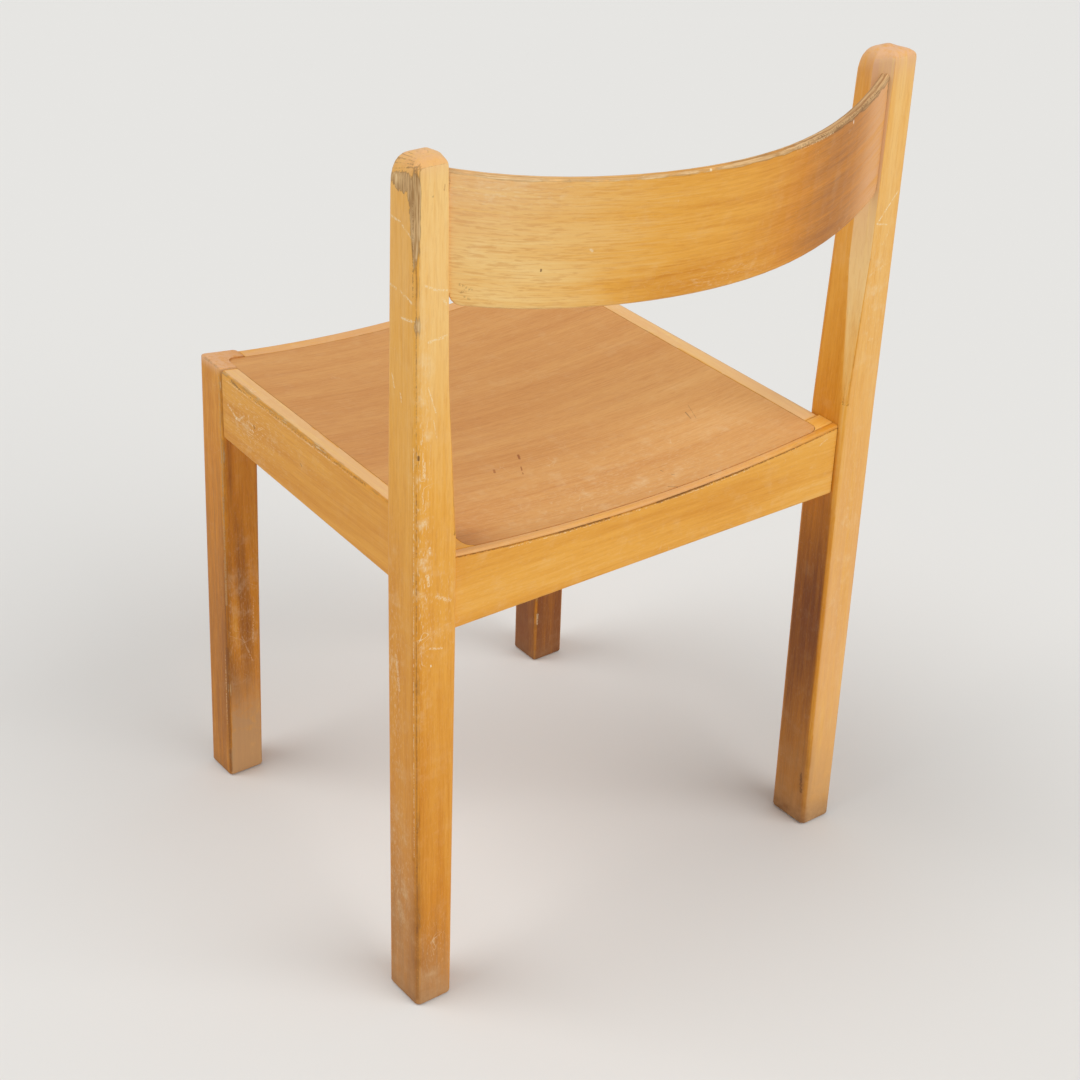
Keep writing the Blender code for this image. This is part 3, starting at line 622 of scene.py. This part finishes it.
def dress(node, slot, finish, floor_dust=0.0, **levels):
    """The fine copy of a solid, worn back at its arrises, with its painted levels and its finish.

    Each level is its base and its dabs: wear at the arrises and in patches, grime in it, the
    wood's tone, tint and rays, scuffs, soiling and dusting. Some tone and tint dabs are painted
    light and shade, the scuff level also paints sheen, and soiling and dusting near the floor
    are partly painted shade.
    """
    shape = fine_mesh(node)
    distance = arris_distances(shape)
    places = np.array([vertex.co for vertex in shape.verts])
    normals = np.array([vertex.normal for vertex in shape.verts])
    values = {"arris": distance}
    for name, base in LEVELS.items():
        dabs = levels.get(name, ())
        if dabs and not isinstance(dabs[0], tuple):
            base, dabs = dabs[0], dabs[1:]
        values[name] = painted(places, normals, base, dabs)
    # Dusting that rises from the floor, partly painted shade
    values["dust"] += floor_dust * np.exp(-places[:, 2] / FLOOR_DUST_AND_SHADE_HEIGHT)
    for name in LIMITED:
        values[name] = np.clip(values[name], 0.0, MOST)
    if node == "backrest":
        depth = depth_from(shape, REAR)
        values["layer"] = depth / depth.max()
        values["edge"] = step(np.abs(normals[:, 2]), PLY_EDGE_FROM, PLY_EDGE_TO)
    vectors = grain_places(node, shape, places).astype(np.float32)
    wear_back(shape, distance, values["worn"])
    if places[:, 2].min() < WELD:
        round_foot(shape)

    for face in shape.faces:
        face.smooth = True
    mesh = bpy.data.meshes.new(f"{node}_wood")
    shape.to_mesh(mesh)
    shape.free()
    for name, level in values.items():
        attribute = mesh.attributes.new(name, "FLOAT", "POINT")
        attribute.data.foreach_set("value", level.astype(np.float32))
    attribute = mesh.attributes.new("grain", "FLOAT_VECTOR", "POINT")
    attribute.data.foreach_set("vector", vectors.ravel())
    mesh.materials.append(finish)
    piece = bpy.data.objects.new(f"{node}_wood", mesh)
    bpy.context.scene.collection.objects.link(piece)
    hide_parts(node)
    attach(piece, "root" if "root" in frame["bodies"] else next(iter(frame["bodies"])))


# Camera and light

def camera():
    """The photograph's camera."""
    azimuth, pitch, roll = CAMERA_AZIMUTH, CAMERA_PITCH, CAMERA_ROLL
    level = math.cos(pitch)
    back = Vector((math.sin(azimuth) * level, -math.cos(azimuth) * level, math.sin(pitch)))
    right = Vector((math.cos(azimuth), math.sin(azimuth), 0.0))
    up = back.cross(right)
    turned_right = right * math.cos(roll) + up * math.sin(roll)
    turned_up = up * math.cos(roll) - right * math.sin(roll)
    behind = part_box("rear_post_left")[1].y
    lens = bpy.data.cameras.new("camera")
    lens.sensor_width = SENSOR
    lens.lens = CAMERA_LENS
    lens.shift_x, lens.shift_y = CAMERA_SHIFT
    thing = bpy.data.objects.new("camera", lens)
    bpy.context.scene.collection.objects.link(thing)
    turn = Matrix((turned_right, turned_up, back)).transposed().to_4x4()
    thing.matrix_world = Matrix.Translation((CAMERA_X, behind + CAMERA_BEHIND, CAMERA_Z)) @ turn
    bpy.context.scene.camera = thing


def sun(name, towards, strength, spread):
    """A soft sun that shines from a direction."""
    lamp = bpy.data.lights.new(name, "SUN")
    lamp.energy = strength
    lamp.angle = math.radians(spread)
    thing = bpy.data.objects.new(name, lamp)
    bpy.context.scene.collection.objects.link(thing)
    thing.rotation_mode = "QUATERNION"
    thing.rotation_quaternion = Vector(towards).to_track_quat("Z", "Y")


def stage():
    """A plain pale floor, a white sky and two soft suns."""
    mesh = bpy.data.meshes.new("floor")
    signs = ((-1, -1), (1, -1), (1, 1), (-1, 1))
    mesh.from_pydata([(x * FLOOR_REACH, y * FLOOR_REACH, 0) for x, y in signs], [], [(0, 1, 2, 3)])
    floor = bpy.data.objects.new("floor", mesh)
    bpy.context.scene.collection.objects.link(floor)
    tree = Tree("floor")
    tree.shader.inputs["Base Color"].default_value = FLOOR
    tree.shader.inputs["Roughness"].default_value = 0.9
    mesh.materials.append(tree.material)
    world = bpy.data.worlds.new("studio")
    world.use_nodes = True
    sky = world.node_tree.nodes["Background"]
    sky.inputs["Color"].default_value = (1.0, 1.0, 1.0, 1.0)
    sky.inputs["Strength"].default_value = WORLD_LEVEL
    bpy.context.scene.world = world
    sun("key", *KEY_SUN)
    sun("rear", *REAR_SUN)
    bpy.context.scene.view_settings.view_transform = "Standard"


# Marks

def line(points, radius, shade, strength, gaps=0.4):
    """A broken mark from point to point."""
    ends = zip(points, points[1:])
    return tuple((start, end, radius, shade, strength, gaps) for start, end in ends)


def arris_points(node, towards, columns):
    """Points in millimetres along an arris, one in each column.

    A point is the vertex near the column that lies furthest towards a direction.
    """
    corners = np.array([vertex.co for vertex in frame["nodes"][node].data.vertices]) / MM
    points = []
    for column in columns:
        near = corners[np.abs(corners[:, 0] - column) < COLUMN_REACH]
        points.append(tuple(near[np.argmax(near @ np.array(towards))]))
    return points


# The chair

camera()
stage()

post_left_marks = (
    ((233.1, 176.0, 735.1), (233.3, 176.0, 734.6), 0.9, SPOT, 0.3),
    ((222.9, 176.0, 741.5), (223.4, 176.0, 737.5), 0.8, RUST, 0.35),
    ((243.9, 175.0, 533.0), (244.0, 175.0, 530.5), 1.3, SPOT, 0.8),
    ((247.0, 142.6, 714.0), (247.4, 155.9, 712.3), 1.3, SCUFF_AND_SHEEN, 0.6, 0.5),
    ((247.4, 155.9, 712.3), (247.1, 171.9, 704.2), 1.2, SCUFF_AND_SHEEN, 0.5, 0.5),
    ((247.3, 143.2, 661.0), (247.3, 150.2, 659.8), 1.4, SCUFF_AND_SHEEN, 0.6, 0.48),
    ((247.3, 156.2, 659.8), (247.1, 170.9, 655.1), 1.4, SCUFF_AND_SHEEN, 0.55, 0.5),
    ((247.2, 158.0, 639.6), (247.1, 172.9, 641.6), 1.5, SCUFF_AND_SHEEN, 0.6, 0.46),
    ((247.1, 144.6, 590.2), (247.1, 147.6, 580.2), 1.1, SCUFF_AND_SHEEN, 0.6, 0.45),
    ((247.1, 155.2, 578.1), (247.1, 157.2, 572.1), 1.0, SCUFF_AND_SHEEN, 0.5, 0.45),
    ((239.4, 176.0, 668.8), (229.8, 176.0, 663.6), 1.3, SCUFF_AND_SHEEN, 0.6, 0.5),
    ((229.8, 176.0, 663.6), (218.2, 176.0, 660.6), 1.2, SCUFF_AND_SHEEN, 0.55, 0.5),
    ((224.0, 176.0, 656.0), (220.0, 176.0, 650.0), 1.4, SCUFF_AND_SHEEN, 0.5, 0.5),
    ((235.6, 176.0, 624.0), (219.7, 176.0, 625.5), 1.5, SCUFF_AND_SHEEN, 0.55, 0.48),
    ((236.0, 175.9, 588.0), (229.0, 175.9, 566.0), 0.8, SCUFF_AND_SHEEN, 0.5, 0.42),
    ((231.0, 175.9, 560.0), (228.0, 175.9, 545.0), 0.7, SCUFF_AND_SHEEN, 0.45, 0.42),
    ((239.3, 175.6, 526.4), (239.2, 175.5, 515.2), 1.9, SCUFF_AND_SHEEN, 0.5, 0.45),
    ((233.5, 175.6, 452.0), (233.5, 175.6, 447.0), 1.5, SCUFF_AND_SHEEN, 0.55, 0.42),
    ((235.0, 175.6, 428.0), (234.6, 175.6, 419.0), 1.8, SCUFF_AND_SHEEN, 0.55, 0.44),
    ((226.7, 175.7, 406.5), (214.2, 175.8, 399.3), 2.2, SCUFF_AND_SHEEN, 0.5, 0.5),
    ((233.0, 176.1, 361.0), (222.0, 176.1, 358.0), 1.4, SCUFF_AND_SHEEN, 0.5, 0.5),
    ((232.6, 176.2, 346.0), (232.4, 176.2, 344.6), 0.9, SCUFF_AND_SHEEN, 0.95),
    ((246.5, 148.0, 344.8), (246.4, 152.1, 314.5), 2.2, SCUFF_AND_SHEEN, 0.4, 0.46),
    *line(((245.8, 174.0, 690), (245.6, 174.2, 590), (245.4, 174.4, 500)), 0.8, CREASE, 0.34, 0.36),
    *line(((245.4, 174.4, 500), (245.0, 174.7, 330)), 1.0, CREASE, 0.42, 0.34),
    *line(((245.0, 174.7, 330), (244.8, 175.2, 230), (244.6, 175.6, 150)), 1.0, CREASE, 0.4, 0.34),
    *line(((244.6, 175.6, 150), (244.4, 176.1, 80)), 1.3, CREASE, 0.42, 0.36),
    *line(((244.4, 176.1, 86), (244.3, 176.4, 8)), 1.9, CREASE, 0.42, 0.38),
    # A pale line beside the ridge: a painted highlight on the rounded arris
    *line(((246.6, 172.2, 540), (246.2, 172.7, 300), (246.0, 173.4, 160)), 0.6, SCUFF_AND_SHEEN, 0.5, 0.42),
    *line(((247.2, 171.6, 735), (247.0, 171.8, 660)), 0.8, CREASE, 0.5, 0.5),
)
dress(
    "rear_post_left", "amber_wood",
    wood("post_left_wood", marks=post_left_marks, lines=0.18, figure=0.5), floor_dust=0.5,
    tone=(
        0.38,
        # Lighter towards the top and darker near the floor on the outer and rear faces, as painted
        # shade, and lighter on the rear face, as a painted reflection
        ((230, 158, 770), (FAR, FAR, 400), 0.32),
        ((230, 175, 770), (FAR, FAR, 240), 0.22, REAR),
        ((247, 150, 40), (FAR, FAR, 120), -0.2, LEFT),
        ((230, 176, 30), (FAR, FAR, 60), -0.12, REAR),
    ),
    tint=(0.0, ((230, 158, 770), (60, 60, 14), 0.9)),
    worn=(
        0.04,
        ((248, 170, 738), (4, 14, 9), 0.9),
        ((248, 170, 722), (4, 12, 16), 0.45),
        ((248, 170, 700), (4, 12, 22), 0.2),
        ((247, 172, 638), (8, 9, 6), 0.3),
    ),
    patch=(-1.0, ((248, 156, 742), (4, 30, 11), 2.1), ((248, 164, 752), (5, 14, 6), 0.6)),
    grime=(0.2, ((247, 160, 741), (14, 30, 60), 0.6), ((248, 152, 744), (4, 6, 4), -0.7)),
    scuff=(
        0.06,
        ((240, 176, 470), (6, 6, 130), 0.75),
        ((222, 176, 400), (14, 6, 40), 0.3),
        ((247, 146, 330), (6, 10, 90), 0.5),
        ((247, 150, 120), (FAR, 20, 70), 0.4, LEFT),
        ((230, 176, 50), (14, FAR, 30), 0.3, REAR),
    ),
    # Soiling down the ridge is dirt; the darker band at the floor and the dusting low on the outer
    # and rear faces are partly painted shade
    soil=(0.0, ((245, 175, 60), (7, 7, 90), 0.5), ((230, 160, 0), (FAR, FAR, 16), 0.4)),
    dust=(
        0.0,
        ((247, 152, 90), (FAR, 24, 110), 0.55, LEFT),
        ((230, 176, 20), (FAR, FAR, 45), 0.4, REAR),
    ),
)
post_right_marks = (
    ((-241.2, 176.6, 647.3), (-220.3, 176.5, 622.2), 1.2, SCUFF_AND_SHEEN, 0.9, 0.3),
    ((-220.3, 176.5, 622.2), (-232.3, 176.5, 619.2), 1.4, SCUFF_AND_SHEEN, 0.6, 0.38),
    ((-228.0, 176.5, 600.0), (-236.0, 176.5, 612.0), 1.2, SCUFF_AND_SHEEN, 0.35, 0.48),
    ((-216.0, 176.5, 575.0), (-238.0, 176.5, 583.0), 1.8, SCUFF_AND_SHEEN, 0.3, 0.5),
    ((-209.5, 170.5, 58.0), (-209.5, 172.5, 38.0), 2.6, SPOT, 0.6, 0.42),
    ((-211.0, 174.5, 92.0), (-211.5, 175.5, 60.0), 1.3, SCUFF_AND_SHEEN, 0.55, 0.4),
    ((-212.5, 176.5, 454.0), (-246.0, 176.5, 457.0), 0.5, CREASE, 0.45, 0.42),
    *line(((-211.0, 174.5, 150), (-211.4, 175.5, 90)), 1.2, CREASE, 0.5, 0.45),
)
dress(
    "rear_post_right", "amber_wood",
    wood("post_right_wood", marks=post_right_marks, lines=0.18, figure=0.62), floor_dust=0.6,
    tone=(
        0.38,
        # Lighter towards the top and darker below, as painted shade, the rear face lighter, as a
        # painted reflection, and the inner face much darker towards the floor, as painted shade
        ((-230, 158, 770), (FAR, FAR, 400), 0.2),
        ((-230, 175, 500), (FAR, FAR, FAR), 0.18, REAR),
        ((-212, 170, 680), (FAR, FAR, 200), 0.66, FACET),
        ((-209, 160, 620), (FAR, FAR, 140), -0.04, LEFT),
        ((-209, 160, 220), (FAR, FAR, 160), -0.38, LEFT),
    ),
    tint=(
        0.0,
        ((-230, 158, 774), (60, 60, 22), 1.0),
        ((-212, 170, 700), (FAR, FAR, 100), 0.8, FACET),
        # The rear face paler: a painted reflection
        ((-230, 175, 200), (FAR, FAR, 260), 0.4, REAR),
    ),
    worn=(0.02,),
    scuff=(
        0.06,
        ((-228, 176, 560), (16, FAR, 60), 0.3, REAR),
        ((-226, 176, 330), (14, FAR, 120), 0.2, REAR),
    ),
    # Soiling by the foot; the darker band at the floor and the dusting low on the rear and inner
    # faces are partly painted shade
    soil=(0.0, ((-230, 160, 0), (FAR, FAR, 22), 0.9), ((-211, 174, 60), (6, 8, 40), 0.5)),
    dust=(
        0.0,
        ((-230, 176, 40), (FAR, FAR, 60), 0.45, REAR),
        ((-209, 160, 50), (FAR, FAR, 70), 0.3, LEFT),
    ),
)
leg_marks = {
    "left": (
        ((182.9, -229.5, 448.4), (183.2, -224.2, 448.4), 1.0, SPOT, 0.7),
        ((183.2, -224.2, 448.4), (186.2, -217.2, 448.3), 0.9, SPOT, 0.5),
        *line(
            ((203.6, -206.0, 440), (204.2, -206.2, 330), (205.0, -207.6, 200)),
            1.7, BARE_GREY, 0.6, 0.42,
        ),
        *line(
            ((204.8, -207.0, 400), (205.6, -208.4, 240), (206.2, -209.6, 130)),
            0.6, CREASE, 0.6, 0.42,
        ),
        *line(((206.0, -209.2, 150), (207.0, -210.6, 6)), 2.3, CREASE, 0.6, 0.36),
        *line(((207.0, -211.4, 150), (207.6, -212.6, 60)), 0.6, SCUFF_AND_SHEEN, 0.6, 0.46),
        ((176.5, -206.5, 200.0), (178.5, -206.5, 150.0), 1.3, SCUFF_AND_SHEEN, 0.3, 0.48),
        ((190.5, -206.5, 160.0), (179.5, -206.5, 128.0), 1.0, SCUFF_AND_SHEEN, 0.25, 0.46),
    ),
    "right": (((-172.9, -207.6, 60.0), (-172.9, -207.6, 48.0), 1.8, SCUFF_AND_SHEEN, 0.5, 0.4),),
}
leg_tones_and_shade = {
    "left": (
        ((185, -190, 20), (FAR, FAR, 60), 0.34, REAR),
        ((185, -206, 110), (FAR, FAR, 30), -0.08, REAR),
    ),
    # The right leg's rear and inner faces are painted darker towards the floor: painted shade under
    # the seat
    "right": (
        ((-190, -210, 20), (FAR, FAR, 200), -0.3, REAR),
        ((-190, -210, 20), (FAR, FAR, 200), -0.3, LEFT),
    ),
}
leg_dust = {"left": (((190, -207, 10), (FAR, FAR, 72), 1.9, REAR),), "right": ()}
for side, sign in (("left", 1), ("right", -1)):
    dress(
        f"front_leg_{side}", "amber_wood",
        wood(f"leg_{side}_wood", marks=leg_marks[side], lines=0.3, figure=0.7), floor_dust=0.25,
        tone=(
            0.29, *leg_tones_and_shade[side],
            ((sign * 190, -210, 450), (FAR, FAR, 220), 0.12),
            ((sign * 204, -226, 120), (FAR, FAR, 170), -0.05, LEFT * sign),
            ((sign * 198, -204, 350), (3, FAR, 45), -0.24, REAR),
            ((sign * 189, -205, 240), (6, FAR, 60), -0.13, REAR),
            ((sign * 183, -206, 165), (6, FAR, 36), -0.15, REAR),
            ((sign * 198, -207, 170), (4, FAR, 40), 0.26, REAR),
        ),
        tint=(0.0, ((sign * 185, -210, 450), (FAR, FAR, 6), 0.8)),
        worn=(0.06,),
        scuff=(0.05, ((sign * 180, -190, 190), (FAR, 20, 80), 0.3, REAR)),
        dust=(0.0, *leg_dust[side]),
        # A darker band at the floor: partly dirt, partly painted shade
        soil=(0.0, ((sign * 190, -210, 0), (FAR, FAR, 12), 0.3)),
    )
rail_marks = {
    "left": (
        ((201.5, -184.3, 444.2), (202.1, -173.7, 442.6), 1.6, SPOT, 0.6, 0.42),
        ((202.1, -173.7, 442.6), (202.3, -166.0, 440.6), 1.2, SPOT, 0.45, 0.42),
        ((201.8, -192.3, 417.1), (201.9, -178.1, 409.9), 1.5, SCUFF_AND_SHEEN, 0.6, 0.46),
        ((201.9, -178.1, 409.9), (202.0, -172.7, 410.2), 2.0, SCUFF_AND_SHEEN, 0.7, 0.44),
        ((202.0, -172.7, 410.2), (202.1, -163.0, 418.1), 1.3, SCUFF_AND_SHEEN, 0.5, 0.48),
        ((202.3, -145.3, 415.6), (202.3, -144.5, 413.6), 1.3, SPOT, 0.6),
        ((203.3, -65.1, 412.6), (203.3, -63.1, 411.1), 1.0, SPOT, 0.4),
        *line(
            ((202.0, -188, 442.6), (202.4, -150, 441.6), (202.9, -100, 440.6)),
            1.4, CREASE, 0.5, 0.52,
        ),
        *line(
            ((202.9, -100, 440.6), (203.5, -40, 439.4), (203.9, 40, 437.8)),
            1.2, CREASE, 0.5, 0.5,
        ),
        *line(
            ((202.0, -196, 440.8), (202.9, -110, 439.0), (203.8, 20, 436.4)),
            1.0, SCUFF_AND_SHEEN, 0.5, 0.52,
        ),
    ),
    "right": (),
}
for side, sign in (("left", 1), ("right", -1)):
    dress(
        f"side_rail_{side}", "amber_wood",
        wood(f"side_rail_{side}_wood", marks=rail_marks[side], lines=0.12, figure=0.6),
        # The top faces are painted lighter and rosier: a painted reflection
        tone=(0.51, ((sign * 200, -20, 440), (FAR, FAR, FAR), 0.28, UP)),
        tint=(0.0, ((sign * 200, -20, 440), (FAR, FAR, FAR), 0.5, UP)),
        worn=(0.04, ((sign * 203, -20, 443), (6, FAR, 9), 0.06)),
        scuff=(
            0.04,
            ((sign * 203, -150, 415), (FAR, 45, 30), 0.5),
            ((sign * 203, -60, 425), (FAR, 60, 20), 0.15),
        ),
    )
dress(
    "front_rail", "tan_wood", wood("front_rail_wood", lines=0.2), tone=(0.55,),
    # The top face is painted rosier: a painted reflection
    tint=(0.0, ((0, -220, 430), (FAR, FAR, FAR), 0.5, UP)),
)
seam = arris_points("rear_rail", (0, 1, 1), range(200, -201, -50))
seam_marks = [
    (start, end, radius, CREASE, strength, gap)
    for start, end, radius, strength, gap in zip(
        seam, seam[1:],
        (0.8, 0.9, 1.5, 0.9, 1.6, 1.4, 1.1, 0.9),
        (0.5, 0.5, 0.7, 0.5, 0.75, 0.7, 0.6, 0.5),
        (0.4, 0.42, 0.36, 0.46, 0.34, 0.38, 0.42, 0.45),
    )
]
chipped = arris_points("rear_rail", (0, 1, 1), (150, 100, 50, 0, -50, -100))
chips = line([(x, y, z - 1.6) for x, y, z in chipped], 0.8, SCUFF_AND_SHEEN, 0.5, 0.56)
scratch = (((-186.0, 170.4, 421.0), (-194.0, 170.4, 425.0), 0.9, SCUFF_AND_SHEEN, 0.4, 0.42),)
dress(
    "rear_rail", "tan_wood",
    wood("rear_rail_wood", marks=(*seam_marks, *chips, *scratch), lines=0.12, figure=0.55),
    worn=(0.02,),
    tone=(0.55, ((-180, 170, 400), (80, FAR, FAR), 0.1)),
)
dress(
    "rear_lip", "tan_wood", wood("rear_lip_wood", marks=seam_marks, lines=0.2), worn=(0.0,),
    tone=(0.52, ((-200, 170, 430), (50, FAR, FAR), -0.1)),
    tint=(0.4, ((-200, 170, 430), (50, FAR, FAR), -0.4)),
)
seat_marks = (
    ((-113.7, 78.9, 429.9), (-117.1, 68.0, 430.4), 0.9, SPOT, 0.5, 0.36),
    ((-117.9, 81.4, 430.1), (-127.4, 59.2, 431.3), 0.5, SPOT, 0.35, 0.36),
    ((-33.2, 134.1, 424.7), (-34.2, 136.1, 424.7), 0.8, SPOT, 0.6),
    ((-36.6, 144.6, 424.3), (-38.6, 145.6, 424.3), 0.7, SPOT, 0.5),
    ((54.9, 48.6, 427.7), (58.0, 54.9, 427.6), 1.5, RUST, 0.8),
    ((65.9, 67.7, 427.5), (68.9, 73.0, 427.4), 0.9, RUST, 0.7),
    ((71.1, 76.9, 427.4), (72.1, 78.9, 427.4), 0.9, RUST, 0.65),
    ((89.7, 61.5, 428.8), (92.1, 65.6, 428.9), 1.5, RUST, 0.6),
    ((-21.0, 159.0, 423.6), (-27.0, 164.0, 423.5), 0.9, SPOT, 0.5, 0.36),
)
dress(
    "seat_panel", "seat_wood",
    wood("seat_panel_wood", SEAT_FACE, marks=seat_marks, lines=0.2, figure=0.8),
    tone=(
        0.5,
        ((-120, 90, 430), (110, 90, FAR), 0.2),
        ((60, 120, 430), (120, 50, FAR), 0.12),
        ((185, 150, 436), (30, 24, FAR), -0.3),
    ),
    worn=(0.0,),
    # The pale haze over the seat's rear part is a painted sheen
    scuff=(
        0.06,
        ((-20, 120, 425), (150, 50, FAR), 0.16),
        ((40, 145, 425), (90, 22, FAR), 0.12),
    ),
)
crest = arris_points("backrest", (0, 1, 1), (41, 30, -50, -70, -90, -110, -130, -150, -170, -188))
back_marks = (
    ((155.8, 202.2, 671.8), (155.8, 202.2, 670.8), 1.2, SPOT, 0.8),
    ((121.8, 216.7, 684.9), (120.8, 217.0, 684.0), 1.4, SCUFF_AND_SHEEN, 0.5),
    ((59.7, 237.6, 718.4), (59.7, 237.6, 716.9), 1.3, SCUFF_AND_SHEEN, 0.4),
    ((-140.6, 211.4, 735.4), (-141.0, 211.2, 733.9), 1.6, srgb(246, 240, 230), 0.9),
    ((210.5, 176.9, 664.5), (206.0, 179.0, 661.5), 1.6, SPOT, 0.35, 0.5),
    ((209.0, 177.6, 658.0), (202.0, 181.0, 660.0), 1.6, SPOT, 0.35, 0.52),
    ((207.0, 178.6, 654.0), (203.5, 180.2, 652.0), 1.3, SPOT, 0.3, 0.5),
    (crest[0], crest[1], 1.8, SCUFF_AND_SHEEN, 0.85, 0.3),
    *line(crest[2:], 1.6, SPOT, 0.4, 0.5),
    *line([(x, y, z - 2.4) for x, y, z in crest[2:6]], 0.9, SCUFF_AND_SHEEN, 0.5, 0.52),
)
dress(
    "backrest", "tan_wood",
    wood("backrest_wood", marks=back_marks, lines=0.4, figure=0.75, ply=True),
    tone=(
        0.57,
        ((200, 180, 700), (110, FAR, FAR), 0.3),
        ((-130, 220, 690), (90, FAR, FAR), -0.4),
        ((60, 235, 640), (70, FAR, 24), -0.24),
    ),
    tint=(
        0.0,
        ((-205, 170, 690), (34, FAR, FAR), 0.6),
        ((200, 170, 740), (60, FAR, 40), 0.4),
    ),
    rays=(0.35, ((200, 180, 690), (110, FAR, FAR), 0.75)),
    worn=(0.04, ((0, 230, 742), (FAR, FAR, 10), 0.1), ((-150, 200, 745), (110, FAR, 12), 0.3)),
    patch=(
        -0.6,
        ((-150, 200, 740), (110, FAR, FAR), 1.5, UP),
        ((60, 230, 740), (150, FAR, FAR), 0.7, UP),
    ),
    grime=(0.1, ((-150, 200, 745), (120, FAR, FAR), 0.8)),
    scuff=(0.06, ((10, 238, 646), (40, FAR, 11), 0.3), ((190, 185, 735), (50, FAR, 14), 0.3)),
)

pale = plain_wood("pale_wood")
steel = zinc("screw_steel")
for name, solid in frame["nodes"].items():
    if name.startswith(("dowel", "corner_block", "screw")):
        solid.data.materials.clear()
        solid.data.materials.append(steel if name.startswith("screw") else pale)
